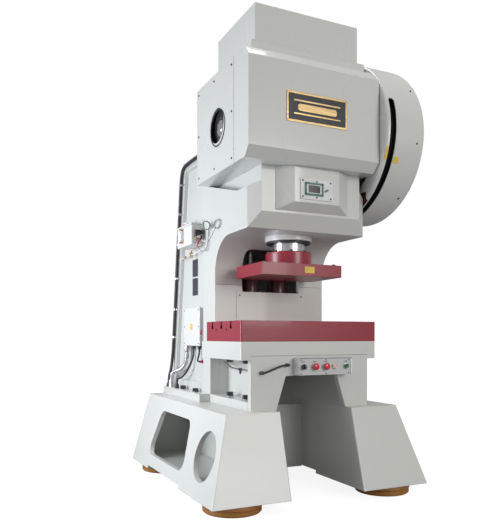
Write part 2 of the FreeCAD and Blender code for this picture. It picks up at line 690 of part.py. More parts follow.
def rod_blank():
    big_end = rod(ROD_OUTER_R, V(-ROD_HALF_W, AXIS_Y, AXIS_Z + THROW), X, 2 * ROD_HALF_W)
    shank = rod(ROD_SHANK_R, V(0, AXIS_Y, 1800), Z, AXIS_Z - 1800)
    taper = Part.makeCone(ROD_NECK_R, ROD_SHANK_R, 30, V(0, AXIS_Y, 1770), Z)
    neck = rod(ROD_NECK_R, V(0, AXIS_Y, BALL_Z), Z, 1770 - BALL_Z)
    ball = Part.makeSphere(BALL_R, V(0, AXIS_Y, BALL_Z))
    whole = big_end.fuse(shank).fuse(taper).fuse(neck).fuse(ball)
    bore = rod(ECCENTRIC_R + RUN_CLEAR, V(-ROD_HALF_W - 1, AXIS_Y, AXIS_Z + THROW), X,
               2 * ROD_HALF_W + 2)
    return whole.cut(bore)


def split_z():
    return AXIS_Z + THROW


def con_rod():
    below = box(-200, 200, 0, 600, 1600, split_z())
    return rod_blank().common(below)


def rod_cap():
    above = box(-200, 200, 0, 600, split_z(), 2400)
    return rod_blank().common(above)


def adjusting_screw():
    """Ball cup with the adjusting thread below it; the ball stands clear all round."""
    floor_z = BALL_Z - BALL_R - CUP_CLEAR
    cup = rod(CUP_R, V(0, AXIS_Y, floor_z - 20), Z, CUP_TOP_Z - floor_z + 20)
    cup = cup.cut(rod(CUP_BORE_R, V(0, AXIS_Y, floor_z), Z, 200))
    shank = rod(SCREW_R - RUN_CLEAR, V(0, AXIS_Y, SCREW_BOTTOM_Z), Z, floor_z - 20 - SCREW_BOTTOM_Z)
    return cup.fuse(shank)


# ---- ram ----------------------------------------------------------------------------------
def plunger():
    body = rod(PLUNGER_R, V(0, AXIS_Y, BOSS_TOP_Z), Z, PLUNGER_TOP_Z - BOSS_TOP_Z)
    body = body.cut(rod(PLUNGER_CAVITY_R, V(0, AXIS_Y, PLUNGER_CAVITY_Z), Z, 400))
    return body.cut(rod(SCREW_R, V(0, AXIS_Y, SCREW_BORE_Z), Z, 300))


def slide():
    """Slide: rectangular die plate with the round boss bolted on top of it."""
    return [slide_plate(), slide_boss()]


def slide_boss():
    body = rod(BOSS_R, V(0, AXIS_Y, SLIDE_TOP_Z), Z, BOSS_TOP_Z - SLIDE_TOP_Z)
    return rounded(body, 6.0, lambda e: e.BoundBox.ZMin > BOSS_TOP_Z - 1)


def slide_plate():
    body = box(-SLIDE_HALF_W, SLIDE_HALF_W, AXIS_Y - SLIDE_HALF_D, AXIS_Y + SLIDE_HALF_D,
               SLIDE_BOTTOM_Z, SLIDE_TOP_Z)
    body = rounded(body, 5.0, lambda e: runs_along(e, Z))
    body = body.cut(rod(SHANK_HOLE_R, V(0, AXIS_Y, SLIDE_BOTTOM_Z - 1), Z, SHANK_HOLE_DEPTH + 1))
    for x in (-DIE_BOLT_DX, DIE_BOLT_DX):
        for y in (AXIS_Y - DIE_BOLT_DY, AXIS_Y + DIE_BOLT_DY):
            body = body.cut(rod(DIE_BOLT_R, V(x, y, SLIDE_BOTTOM_Z - 1), Z, DIE_BOLT_DEPTH + 1))
    return body


def guide_bush():
    return ring(GUIDE_BUSH_R, PLUNGER_R + RUN_CLEAR, V(0, AXIS_Y, CEILING_Z), Z,
                GUIDE_TOP_Z - CEILING_Z)


def guide_housing():
    start = CEILING_Z + THROAT_T
    return ring(GUIDE_HOUSING_R, GUIDE_BUSH_R, V(0, AXIS_Y, start), Z, GUIDE_TOP_Z - 10 - start)


def guide_flange():
    body = ring(FLANGE_R, PLUNGER_R + LOOSE_CLEAR, V(0, AXIS_Y, CEILING_Z - FLANGE_T), Z, FLANGE_T)
    rim = [e for e in body.Edges
           if e.BoundBox.ZMax < CEILING_Z - 1 and e.BoundBox.XMax > PLUNGER_R + 20]
    return body.makeFillet(4.0, rim)


def guide_seal():
    return ring(SEAL_R, PLUNGER_R + LOOSE_CLEAR, V(0, AXIS_Y, CEILING_Z - FLANGE_T - SEAL_T), Z,
                SEAL_T)


# ---- drive --------------------------------------------------------------------------------
def flywheel():
    def disc(outer, inner, x0, x1):
        return ring(outer, inner, V(x0, AXIS_Y, AXIS_Z), X, x1 - x0)
    bore = SHAFT_R + RUN_CLEAR
    rim = disc(FLYWHEEL_R, FLYWHEEL_RIM_R, *FLYWHEEL_X)
    web = disc(FLYWHEEL_RIM_R, HUB_R, FLYWHEEL_X[0] + 55, FLYWHEEL_X[0] + 90)
    hub = disc(HUB_R, bore, FLYWHEEL_X[0] - 8, FLYWHEEL_X[1] + 20)
    wheel = rim.fuse(web).fuse(hub).removeSplitter()
    middle = (FLYWHEEL_RIM_R + HUB_R) / 2
    for i in range(5):
        angle = math.radians(72 * i + 36)
        centre = V(FLYWHEEL_X[0] + 50, AXIS_Y + middle * math.cos(angle),
                   AXIS_Z + middle * math.sin(angle))
        wheel = wheel.cut(rod(70, centre, X, 50))
    return wheel


def motor():
    body = rod(MOTOR_R, V(MOTOR_X[0], MOTOR_Y, MOTOR_Z), X, MOTOR_X[1] - MOTOR_X[0])
    feet = box(MOTOR_X[0] + 60, MOTOR_X[1] - 60, MOTOR_Y - 130, MOTOR_Y - 60, MOTOR_Z - 100, MOTOR_Z + 100)
    terminal = box(MOTOR_X[0] + 120, MOTOR_X[1] - 120, MOTOR_Y - 60, MOTOR_Y + 60,
                   MOTOR_Z + 60, MOTOR_Z + 175)
    shaft_hole = rod(MOTOR_SHAFT_R + RUN_CLEAR, V(MOTOR_X[1] - 80, MOTOR_Y, MOTOR_Z), X, 81)
    return body.fuse(feet).fuse(terminal).removeSplitter().cut(shaft_hole)


def motor_bracket():
    """Wedge that carries the motor upright on the leaning rear wall."""
    low = MOTOR_Z - 150
    high = MOTOR_Z + 150
    face_y = MOTOR_Y - 130
    return prism_x([(rear_y(low), low), (face_y, low), (face_y, high), (rear_y(high), high)],
                   MOTOR_X[0] + 40, MOTOR_X[1] - 40)


def motor_rotor():
    """Motor shaft with the belt pulley keyed on it."""
    inner_end = MOTOR_X[1] - 79
    shaft = rod(MOTOR_SHAFT_R, V(inner_end, MOTOR_Y, MOTOR_Z), X, FLYWHEEL_X[1] - 10 - inner_end)
    pulley = rod(PULLEY_R, V(FLYWHEEL_X[0] + 18, MOTOR_Y, MOTOR_Z), X, 108)
    return shaft.fuse(pulley).removeSplitter()


def drive_belts():
    belts = []
    for x in BELT_X:
        outer = belt_solid(x, x + BELT_W, FLYWHEEL_R + BELT_CLEAR + BELT_T,
                           PULLEY_R + BELT_CLEAR + BELT_T)
        inner = belt_solid(x - 1, x + BELT_W + 1, FLYWHEEL_R + BELT_CLEAR, PULLEY_R + BELT_CLEAR)
        belts.append(outer.cut(inner))
    return belts


def guard_slot():
    """Long inspection slot in the rim of the guard, with a round upper end."""
    low, high = (math.radians(a) for a in GUARD_SLOT_DEG)
    x0 = GUARD_SLOT_X - GUARD_SLOT_HALF_W
    x1 = GUARD_SLOT_X + GUARD_SLOT_HALF_W

    def at(radius, angle, x):
        return V(x, AXIS_Y - radius * math.cos(angle), AXIS_Z + radius * math.sin(angle))
    inner_r = GUARD_R - 40
    outer_r = GUARD_R + 20
    middle = (low + high) / 2
    wire = Part.Wire([
        Part.Arc(at(outer_r, low, x0), at(outer_r, middle, x0), at(outer_r, high, x0)).toShape(),
        Part.LineSegment(at(outer_r, high, x0), at(inner_r, high, x0)).toShape(),
        Part.Arc(at(inner_r, high, x0), at(inner_r, middle, x0), at(inner_r, low, x0)).toShape(),
        Part.LineSegment(at(inner_r, low, x0), at(outer_r, low, x0)).toShape()])
    sector = Part.Face(wire).extrude(V(x1 - x0, 0, 0))
    end = at(inner_r, high, GUARD_SLOT_X)
    tip = at(outer_r, high, GUARD_SLOT_X)
    return sector.fuse(rod(GUARD_SLOT_HALF_W, end, tip.sub(end), outer_r - inner_r))


def flywheel_guard():
    """Drum over the flywheel that tapers to the motor pulley, with a rolled front lip."""
    def drum(inset):
        solid = belt_solid(GUARD_INNER_X + inset, GUARD_OUTER_X - inset, GUARD_R - inset,
                           GUARD_REAR_R - inset)
        solid = rounded(solid, GUARD_ROUND - inset,
                        lambda e: e.BoundBox.XMin > GUARD_OUTER_X - inset - 1)
        return rounded(solid, GUARD_INNER_ROUND - inset,
                       lambda e: e.BoundBox.XMax < GUARD_INNER_X + inset + 1)
    shell = drum(0.0).cut(drum(SHEET)).cut(guard_slot())
    shell = shell.cut(rod(GUARD_MOUTH_R, V(0, AXIS_Y, AXIS_Z), X, FRAME_HALF_W))
    shell = shell.cut(box(0, FRAME_HALF_W, SHOULDER_Y - 5, 3000, 0, 4000))
    return shell.cut(box(0, FRAME_HALF_W, HEAD_FRONT_Y - 5, 3000, 0, BEVEL_TOP_Z + 5))


# ---- air cylinders behind the throat window ------------------------------------------------
def air_cylinders():
    """Two upright air cylinders with plated rods on a shelf between the side plates."""
    inner_x = FRAME_HALF_W - SIDE_T
    back_y = THROAT_Y + THROAT_T + CYLINDER_GAP + 2 * CYLINDER_R + 20
    shelf = box(-inner_x, inner_x, BED_DEPTH, back_y, BED_TOP_Z - 30, BED_TOP_Z)
    found = [shelf]
    for x in (-CYLINDER_X, CYLINDER_X):
        centre_y = THROAT_Y + THROAT_T + CYLINDER_GAP + CYLINDER_R
        body = rod(CYLINDER_R, V(x, centre_y, BED_TOP_Z), Z, CYLINDER_TOP_Z - BED_TOP_Z)
        stem = rod(CYLINDER_ROD_R, V(x, centre_y, CYLINDER_TOP_Z), Z,
                   CYLINDER_ROD_TOP_Z - CYLINDER_TOP_Z)
        found.append(body.fuse(stem))
    return found


# ---- services on the left side ------------------------------------------------------------
def service_route(*points):
    """Place (out, y, up) points: out from the side plate, up from the base flange.

    Points close to the flange or to the terminal box keep their distance from it; those
    between are spaced evenly over the height that is left.
    """
    base = FOOT_TOP_Z + BASE_FLANGE_T
    below = base + SERVICE_LOW
    above = TERMINAL_Z[0] - SERVICE_RISE + SERVICE_HIGH
    placed = []
    for out, y, up in points:
        if up <= SERVICE_LOW:
            z = base + up
        elif up >= SERVICE_HIGH:
            z = TERMINAL_Z[0] - SERVICE_RISE + up
        else:
            share = (up - SERVICE_LOW) / (SERVICE_HIGH - SERVICE_LOW)
            z = below + share * (above - below)
        placed.append((SERVICE_X - out, y, z))
    return placed


def lubricator_tank():
    body = box(SERVICE_X - TANK_DEPTH, SERVICE_X, *TANK_Y, *TANK_Z)
    body = rounded(body, 5.0, lambda e: runs_along(e, Z))
    pad = box(SERVICE_X, SERVICE_X + POCKET_DEPTH, TANK_Y[0] + 70, TANK_Y[1] - 61,
              TANK_Z[0] + 30, TANK_Z[1] - 32)
    return body.fuse(pad).removeSplitter()


def lubricator_cap():
    x = SERVICE_X - 46
    cap = rod(24, V(x, 890, TANK_Z[1]), Z, 26)
    return cap.fuse(rod(15, V(x, 890, TANK_Z[1] + 26), Z, 10)).removeSplitter()


def sight_glass():
    """Clear level tube on two elbows on the outer face of the tank."""
    return rod(8, V(SERVICE_X - TANK_DEPTH - 16, 850, TANK_Z[0] + 36), Z, 70)


def sight_elbows():
    fittings = []
    face = SERVICE_X - TANK_DEPTH
    for z in (TANK_Z[0] + 24, TANK_Z[0] + 106):
        stem = rod(7, V(face, 850, z + 6), V(-1, 0, 0), 16)
        fittings.append(box(face - 25, face - 7, 841, 859, z, z + 12).fuse(stem).removeSplitter())
    return fittings


def lubricator_valve():
    """Solenoid block on the front face of the tank."""
    body = box(SERVICE_X - 62, SERVICE_X - 22, TANK_Y[0] - 28, TANK_Y[0], 1578, 1618)
    coil = box(SERVICE_X - 46, SERVICE_X - 28, TANK_Y[0] - 54, TANK_Y[0] - 28, 1584, 1612)
    return body.fuse(coil).removeSplitter()


def valve_fittings():
    x = SERVICE_X - 54
    y = TANK_Y[0] - 14
    return [rod(9, V(x, y, 1552), Z, 26), rod(8, V(x, y, 1618), Z, 16),
            rod(8, V(SERVICE_X - 22, y, 1598), X, 14)]


def tubing_coil():
    """Spare turns of air tube standing beside the throat cheek."""
    return Part.makeTorus(26, 8, V(SERVICE_X - 36, 560, 1632), Y)


def air_tube():
    points = service_route((54, 676, 980), (54, 676, 948), (40, 660, 916), (20, 630, 908),
                           (12, 606, 928), (10, 594, 968), (10, 590, 1013), (10, 585, 1048),
                           (10, 569, 1060))
    return cord("air_tube", points, 4.0)


def terminal_box():
    return box(SERVICE_X - 3, SERVICE_X + POCKET_DEPTH, *TERMINAL_Y, *TERMINAL_Z)


def terminal_lid():
    lid = box(SERVICE_X - 15, SERVICE_X - 3, TERMINAL_Y[0] - 5, TERMINAL_Y[1] + 5,
              TERMINAL_Z[0] - 5, TERMINAL_Z[1] + 5)
    return rounded(lid, 6.0, lambda e: runs_along(e, X))


def gland(x, y, z, radius, down):
    """Cable gland: a hexagon nut and a shorter round neck, from z downwards or upwards."""
    way = -1 if down else 1
    corners = [V(x + radius * math.cos(math.radians(60 * i)),
                 y + radius * math.sin(math.radians(60 * i)), z) for i in range(7)]
    nut = Part.Face(Part.makePolygon(corners)).extrude(V(0, 0, way * 14))
    neck = rod(radius * 0.75, V(x, y, z + way * 14), V(0, 0, way), 14)
    return nut.fuse(neck).removeSplitter()


def cable_glands():
    """Glands under the terminal box, on the base flange and on the side plate."""
    low = TERMINAL_Z[0]
    base = FOOT_TOP_Z + BASE_FLANGE_T
    x = SERVICE_X + 11
    return [gland(x, 905, low, 11, True), gland(x, 800, low, 11, True),
            gland(GLAND_X, 1225, base, 24, False), gland(GLAND_X, 1105, base, 15, False),
            gland(GLAND_X, 1285, base, 24, False),
            rod(10, V(*service_route((-13, 742, 198))[0]), X, 12)]


def conduit_ends():
    """Screwed ferrules of the metal conduit, at the terminal box and at the foot."""
    return [rod(21, V(SERVICE_X - 10, 978, TERMINAL_Z[0] - 42), Z, 37),
            rod(20, V(GLAND_X, 1225, FOOT_TOP_Z + BASE_FLANGE_T + 28), Z, 22)]


def flexible_conduit():
    points = service_route((10, 978, 264), (10, 978, 220), (13, 1006, 170), (20, 1072, 134),
                           (28, 1148, 118), (37, 1204, 104), (38, 1225, 76), (38, 1225, 50))
    return cord("flexible_conduit", points, 15.0)


def control_cable():
    points = service_route((-11, 905, 278), (-11, 905, 240), (1, 913, 194), (14, 940, 144),
                           (26, 985, 100), (34, 1040, 72), (38, 1088, 70), (38, 1105, 53),
                           (38, 1105, 28))
    return cord("control_cable", points, 6.5)


def short_cable():
    points = service_route((-11, 800, 278), (-11, 800, 252), (-1, 791, 228), (11, 776, 210),
                           (16, 757, 200), (7, 742, 198), (-13, 742, 198))
    return cord("short_cable", points, 6.0)


def hose_bundle():
    points = service_route((14, 603, 1546), (14, 700, 1546), (15, 840, 1549), (14, 960, 1548),
                           (14, 1045, 1540), (14, 1085, 1488), (14, 1105, 1328), (14, 1136, 1128),
                           (16, 1166, 908), (14, 1201, 678), (15, 1232, 448), (14, 1258, 268),
                           (20, 1285, 128), (38, 1285, 68), (38, 1285, 28))
    return cord("hose_bundle", points, 11.0)


# ---- operator controls --------------------------------------------------------------------
def control_x():
    return [SELECTOR_X, *STOP_X, LAMP_X, START_X]


def control_box():
    body = box(*PANEL_X, PANEL_Y, 0, *PANEL_Z)
    body = rounded(body, 5.0, lambda e: runs_along(e, Y))
    inside = box(PANEL_X[0] + 4, PANEL_X[1] - 4, PANEL_Y - 1, -4, PANEL_Z[0] + 4, PANEL_Z[1] - 4)
    return body.cut(inside)


def control_face_plate():
    plate = box(*PANEL_X, PANEL_Y - FACE_T, PANEL_Y, *PANEL_Z)
    plate = rounded(plate, 5.0, lambda e: runs_along(e, Y))
    for x in control_x():
        plate = plate.cut(rod(12.0, V(x, PANEL_Y - FACE_T - 1, CONTROL_Z), Y, FACE_T + 2))
    return plate


def control_collars():
    """Threaded bezels of the five operators, clamped in the face plate."""
    collars = []
    for x in control_x():
        outer = ring(17, 9, V(x, PANEL_Y - FACE_T - 5, CONTROL_Z), Y, 5)
        sleeve = ring(12, 9, V(x, PANEL_Y - FACE_T, CONTROL_Z), Y, 26)
        collars.append(outer.fuse(sleeve).removeSplitter())
    return collars


def operator_stem(x):
    return rod(8.6, V(x, PANEL_Y - FACE_T - 13, CONTROL_Z), Y, 33)


def selector_knob():
    y = PANEL_Y - FACE_T - 13
    knob = rod(15, V(SELECTOR_X, y - 8, CONTROL_Z), Y, 12)
    grip = box(SELECTOR_X - 4, SELECTOR_X + 4, y - 20, y - 4, CONTROL_Z - 14, CONTROL_Z + 14)
    return operator_stem(SELECTOR_X).fuse(knob).fuse(grip).removeSplitter()


def mushroom_button(x):
    y = PANEL_Y - FACE_T - 13
    cap = rod(20, V(x, y - 13, CONTROL_Z), Y, 14)
    cap = rounded(cap, 6.0, lambda e: e.BoundBox.YMax < y - 12)
    return operator_stem(x).fuse(cap).removeSplitter()


def pilot_lamp():
    y = PANEL_Y - FACE_T - 5
    lens = rod(14, V(LAMP_X, y - 9, CONTROL_Z), Y, 9)
    lens = rounded(lens, 4.0, lambda e: e.BoundBox.YMax < y - 8)
    return lens.fuse(rod(9, V(LAMP_X, y, CONTROL_Z), Y, 25)).removeSplitter()


def start_button():
    y = PANEL_Y - FACE_T - 13
    cap = rod(13, V(START_X, y - 5, CONTROL_Z), Y, 7)
    return operator_stem(START_X).fuse(cap).removeSplitter()


def front_cable_glands():
    return [rod(11, V(-327, -12, 735), Y, 12), rod(10, V(-166, -12, 776), Y, 12)]


def front_cable():
    return cord("front_cable", [(-327, -12, 735), (-327, -30, 735), (-312, -40, 740),
                                (-288, -47, 750), (-258, -50, 762), (-228, -48, 772),
                                (-198, -43, 777), (-166, -32, 776), (-166, -12, 776)], 6.0)


# ---- list of pieces -----------------------------------------------------------------------
def pieces():
    """Node name to solid or list of solids."""
    def pair(shape):
        return [shape, mirrored(shape)]
    base = {
        "isolation_pads": isolation_pads(),
        "foot_right": foot(),
        "foot_left": mirrored(foot()),
        "foot_cross_wall": foot_cross_wall(),
        "base_flanges": pair(base_flange()),
        "anchor_bolts": anchor_bolts(),
        "bed_webs": pair(bed_web()),
        "bed_block": bed_block(),
        "front_plate": front_plate(),
        "bolster": bolster(),
    }
    frame = {
        "frame_side_right": frame_side(),
        "frame_side_left": mirrored(frame_side()),
        "throat_wall": throat_wall(),
        "throat_cover_plate": throat_cover_plate(),
        "frame_rear_wall": frame_rear_wall(),
        "air_cylinders": air_cylinders(),
        "crown_plates": pair(crown_plate()),
        "head_front": head_front(),
    }
    covers = {
        "display_hood": display_hood(),
        "display_panel": [display_plate(), display_meter()],
        "cover_front": cover_front(),
        "cover_side_left": cover_side_left(),
        "cover_side_right": cover_side_right(),
        "cover_roof": cover_roof(),
        "plinth": plinth(),
        "top_housing": top_housing(),
        "name_plate": name_plate(),
    }
    crank_train = {
        "main_bushes": pair(main_bush()),
        "crankshaft": crankshaft(),
        "encoder_disc": encoder_disc(),
        "clutch_disc": clutch_disc(),
        "brake_ring": brake_ring(),
        "con_rod": con_rod(),
        "rod_cap": rod_cap(),
        "adjusting_screw": adjusting_screw(),
    }
    ram = {
        "plunger": plunger(),
        "slide": slide(),
        "guide_bush": guide_bush(),
        "guide_housing": guide_housing(),
        "guide_flange": guide_flange(),
        "guide_seal": guide_seal(),
    }
    drive = {
        "flywheel": flywheel(),
        "flywheel_guard": flywheel_guard(),
        "motor": [motor(), motor_bracket()],
        "motor_rotor": motor_rotor(),
        "drive_belts": drive_belts(),
    }
    services = {
        "lubricator_tank": [lubricator_tank(), lubricator_cap()],
        "lubricator_valve": [lubricator_valve(), *valve_fittings()],
        "sight_gauge": [sight_glass(), *sight_elbows()],
        "air_tube": [air_tube(), tubing_coil()],
        "terminal_box": [terminal_box(), terminal_lid()],
        "flexible_conduit": flexible_conduit(),
        "control_cables": [control_cable(), short_cable(), front_cable()],
        "hose_bundle": hose_bundle(),
        "cable_glands": [*cable_glands(), *conduit_ends(), *front_cable_glands()],
    }
    controls = {
        "control_box": [control_box(), control_face_plate(), *control_collars(), pilot_lamp()],
        "selector_knob": selector_knob(),
        "stop_button_left": mushroom_button(STOP_X[0]),
        "stop_button_right": mushroom_button(STOP_X[1]),
        "start_button": start_button(),
    }
    return {**base, **frame, **covers, **crank_train, **ram, **drive, **services, **controls}


def main():
    os.makedirs("parts", exist_ok=True)
    move = V(0, -ORIGIN_Y, 0)
    for name, solids in pieces().items():
        solids = solids if isinstance(solids, list) else [solids]
        shape = solids[0] if len(solids) == 1 else Part.makeCompound(solids)
        shape.translate(move)
        shape.exportStep(os.path.join("parts", name + ".step"))


main()
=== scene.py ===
"""Looks of the mechanical stamping press: paint, plating, trim, cables, controls and studio."""

import json
import math

import bmesh
import bpy
from mathutils import Matrix, Vector


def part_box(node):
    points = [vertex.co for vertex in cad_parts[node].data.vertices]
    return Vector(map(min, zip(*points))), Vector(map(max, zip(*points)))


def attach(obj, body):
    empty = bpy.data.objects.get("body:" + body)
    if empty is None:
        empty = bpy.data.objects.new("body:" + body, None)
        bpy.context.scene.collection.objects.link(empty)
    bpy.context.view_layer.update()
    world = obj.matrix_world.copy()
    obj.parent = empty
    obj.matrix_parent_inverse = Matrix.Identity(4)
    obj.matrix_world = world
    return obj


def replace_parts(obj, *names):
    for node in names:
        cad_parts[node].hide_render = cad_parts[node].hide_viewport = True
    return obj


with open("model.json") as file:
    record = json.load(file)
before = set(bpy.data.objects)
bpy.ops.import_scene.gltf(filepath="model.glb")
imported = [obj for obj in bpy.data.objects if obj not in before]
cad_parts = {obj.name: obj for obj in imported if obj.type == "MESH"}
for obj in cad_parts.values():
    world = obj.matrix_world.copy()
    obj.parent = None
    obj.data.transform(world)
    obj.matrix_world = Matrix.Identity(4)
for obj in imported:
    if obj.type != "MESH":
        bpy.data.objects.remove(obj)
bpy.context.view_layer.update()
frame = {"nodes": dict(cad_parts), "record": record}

X = Vector((1, 0, 0))
Y = Vector((0, 1, 0))
Z = Vector((0, 0, 1))
BED_FRONT_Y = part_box("bed_block")[0].y
FACE_DEPTH = 0.066  # control panel face, in front of the bed
WEB_LENGTH = 0.535  # upright webs under the bed, front to back
PAD_RADIUS = 0.165
WALL_TOP_Y = 1090.0  # rear wall at the height WALL_TOP_Z, in press() millimetres
WALL_TOP_Z = 2150.0
WALL_SLOPE = 228.0 / 1628.0


# ---- shader helpers -----------------------------------------------------------------------
class Shader:
    """One material and short calls that add and join its nodes."""

    def __init__(self, name):
        self.material = bpy.data.materials.new(name)
        self.material.use_nodes = True
        self.tree = self.material.node_tree
        self.surface = self.tree.nodes["Principled BSDF"]
        self.place = self.node("ShaderNodeTexCoord").outputs["Object"]

    def node(self, kind, **settings):
        made = self.tree.nodes.new(kind)
        for name, value in settings.items():
            setattr(made, name, value)
        return made

    def link(self, output, target):
        self.tree.links.new(output, target)

    def set(self, **values):
        for name, value in values.items():
            self.surface.inputs[name.replace("_", " ")].default_value = value

    def noise(self, scale, detail=3.0, stretch=(1, 1, 1), roughness=0.5):
        mapping = self.node("ShaderNodeMapping")
        mapping.inputs["Scale"].default_value = stretch
        self.link(self.place, mapping.inputs["Vector"])
        made = self.node("ShaderNodeTexNoise")
        made.inputs["Scale"].default_value = scale
        made.inputs["Detail"].default_value = detail
        made.inputs["Roughness"].default_value = roughness
        self.link(mapping.outputs["Vector"], made.inputs["Vector"])
        return made.outputs["Fac"]

    def ramp(self, value, low, high, start=0.0, end=1.0):
        made = self.node("ShaderNodeMapRange")
        made.inputs["From Min"].default_value = low
        made.inputs["From Max"].default_value = high
        made.inputs["To Min"].default_value = start
        made.inputs["To Max"].default_value = end
        self.link(value, made.inputs["Value"])
        return made.outputs["Result"]

    def times(self, a, b):
        made = self.node("ShaderNodeMath", operation="MULTIPLY")
        self.link(a, made.inputs[0])
        self.link(b, made.inputs[1])
        return made.outputs["Value"]

    def mix(self, factor, first, second):
        made = self.node("ShaderNodeMix", data_type="RGBA")
        self.link(factor, made.inputs["Factor"])
        for colour, name in ((first, "A"), (second, "B")):
            socket = [s for s in made.inputs if s.name == name and s.type == "RGBA"][0]
            if isinstance(colour, tuple):
                socket.default_value = (*colour, 1)
            else:
                self.link(colour, socket)
        return [s for s in made.outputs if s.type == "RGBA"][0]

    def bumps(self, *layers, bevel=0.0):
        """Stack (height, strength, distance) layers on softened edges."""
        last = None
        if bevel:
            soft = self.node("ShaderNodeBevel", samples=6)
            soft.inputs["Radius"].default_value = bevel
            last = soft.outputs["Normal"]
        for height, strength, distance in layers:
            made = self.node("ShaderNodeBump")
            made.inputs["Strength"].default_value = strength
            made.inputs["Distance"].default_value = distance
            self.link(height, made.inputs["Height"])
            if last:
                self.link(last, made.inputs["Normal"])
            last = made.outputs["Normal"]
        self.link(last, self.surface.inputs["Normal"])

    def crevice(self, distance, low, high):
        """Near 1 deep inside slots and hollows, 0 in the open."""
        made = self.node("ShaderNodeAmbientOcclusion", samples=8)
        made.inputs["Distance"].default_value = distance
        return self.ramp(made.outputs["AO"], high, low)

    def edge_mask(self, radius, low=0.02, high=0.25):
        """Near 1 along sharp edges, 0 on flat faces."""
        soft = self.node("ShaderNodeBevel", samples=6)
        soft.inputs["Radius"].default_value = radius
        dot = self.node("ShaderNodeVectorMath", operation="DOT_PRODUCT")
        self.link(soft.outputs["Normal"], dot.inputs[0])
        self.link(self.node("ShaderNodeNewGeometry").outputs["True Normal"], dot.inputs[1])
        return self.ramp(dot.outputs["Value"], 1.0 - low, 1.0 - high)


def enamel(name, colour, rough, worn, grime, bevel=0.004, coat=0.35, painted_hollow_shade=None):
    """Sprayed gloss paint: faint waves in the sheet, orange peel, handling dirt, worn edges, and
    optional painted shade that darkens the colour in slots and hollows.
    """
    shader = Shader(name)
    patches = shader.noise(1.7, 1.5)
    dirt = shader.ramp(patches, 0.35, 0.9, 0.0, 0.3)
    base = shader.mix(dirt, colour, grime)
    speckle = shader.ramp(shader.noise(38.0, 5.0), 0.68, 0.85, 0.0, 0.14)
    base = shader.mix(speckle, base, grime)
    chips = shader.times(shader.edge_mask(0.003), shader.ramp(shader.noise(55.0, 4.0), 0.56, 0.68))
    base = shader.mix(chips, base, worn)
    # painted shade: where ambient occlusion finds a hollow, the base colour is pulled toward the
    # given shade colour
    if painted_hollow_shade:
        shade, distance, low, high = painted_hollow_shade
        base = shader.mix(shader.crevice(distance, low, high), base, shade)
    shader.link(base, shader.surface.inputs["Base Color"])
    shader.link(shader.ramp(patches, 0.3, 0.8, rough, rough + 0.14),
                shader.surface.inputs["Roughness"])
    shader.set(Coat_Weight=coat, Coat_Roughness=0.06)
    waves = shader.noise(1.6, 1.0, (1, 1, 2.5))
    shader.bumps((waves, 0.25, 0.008), (shader.noise(420.0, 1.0), 0.05, 0.0006), bevel=bevel)
    return shader.material


def bare_metal(name, colour, rough, stretch, scale=60.0, strength=0.12, bevel=0.0015):
    """Machined or drawn metal with fine lines along one direction."""
    shader = Shader(name)
    lines = shader.noise(scale, 6.0, stretch, 0.65)
    darker = tuple(c * 0.62 for c in colour)
    base = shader.mix(shader.ramp(lines, 0.35, 0.7), darker, colour)
    stain = shader.ramp(shader.noise(9.0, 4.0), 0.55, 0.8, 0.0, 0.35)
    shader.link(shader.mix(stain, base, tuple(c * 0.5 for c in colour)),
                shader.surface.inputs["Base Color"])
    shader.set(Metallic=1.0)
    shader.link(shader.ramp(lines, 0.2, 0.8, rough, rough + 0.18),
                shader.surface.inputs["Roughness"])
    shader.bumps((lines, strength, 0.0004), bevel=bevel)
    return shader.material


def cast_iron(name, colour):
    shader = Shader(name)
    grain = shader.noise(160.0, 6.0)
    base = shader.mix(shader.ramp(grain, 0.35, 0.7), tuple(c * 0.55 for c in colour), colour)
    shader.link(base, shader.surface.inputs["Base Color"])
    shader.set(Metallic=0.7, Roughness=0.5)
    shader.bumps((grain, 0.35, 0.0008), bevel=0.002)
    return shader.material


def moulded(name, colour, rough, grain=240.0, strength=0.1, coat=0.0, bevel=0.0008):
    """Rubber, nylon or moulded plastic with fine grain and dust."""
    shader = Shader(name)
    dusty = tuple(min(1.0, c * 1.35 + 0.015) for c in colour)
    dust = shader.ramp(shader.noise(24.0, 5.0), 0.5, 0.8, 0.0, 0.6)
    shader.link(shader.mix(dust, colour, dusty), shader.surface.inputs["Base Color"])
    shader.link(shader.ramp(shader.noise(30.0, 3.0), 0.3, 0.7, rough, rough + 0.12),
                shader.surface.inputs["Roughness"])
    shader.set(Coat_Weight=coat, Coat_Roughness=0.05)
    shader.bumps((shader.noise(grain, 3.0), strength, 0.0005), bevel=bevel)
    return shader.material


def pad_material(name):
    """Ochre painted pad with brush marks, rust stains and a scuffed edge."""
    shader = Shader(name)
    ochre = (0.36, 0.15, 0.028)
    rust = (0.31, 0.13, 0.025)
    bright = (0.62, 0.33, 0.09)
    patches = shader.ramp(shader.noise(14.0, 6.0), 0.42, 0.7)
    base = shader.mix(patches, ochre, rust)
    scuffs = shader.times(shader.edge_mask(0.006), shader.ramp(shader.noise(60.0, 4.0), 0.4, 0.6))
    shader.link(shader.mix(scuffs, base, bright), shader.surface.inputs["Base Color"])
    shader.set(Roughness=0.5, Coat_Weight=0.15, Coat_Roughness=0.3)
    shader.bumps((shader.noise(90.0, 5.0), 0.3, 0.001), bevel=0.004)
    return shader.material


def clear(name, colour, rough):
    """Clear hose or glass, slightly tinted."""
    shader = Shader(name)
    tint = shader.mix(shader.ramp(shader.noise(40.0, 2.0), 0.4, 0.7), colour,
                      tuple(c * 0.85 for c in colour))
    shader.link(tint, shader.surface.inputs["Base Color"])
    shader.set(Roughness=rough, Transmission_Weight=0.55, IOR=1.45)
    shader.bumps((shader.noise(60.0, 2.0), 0.08, 0.0004))
    return shader.material


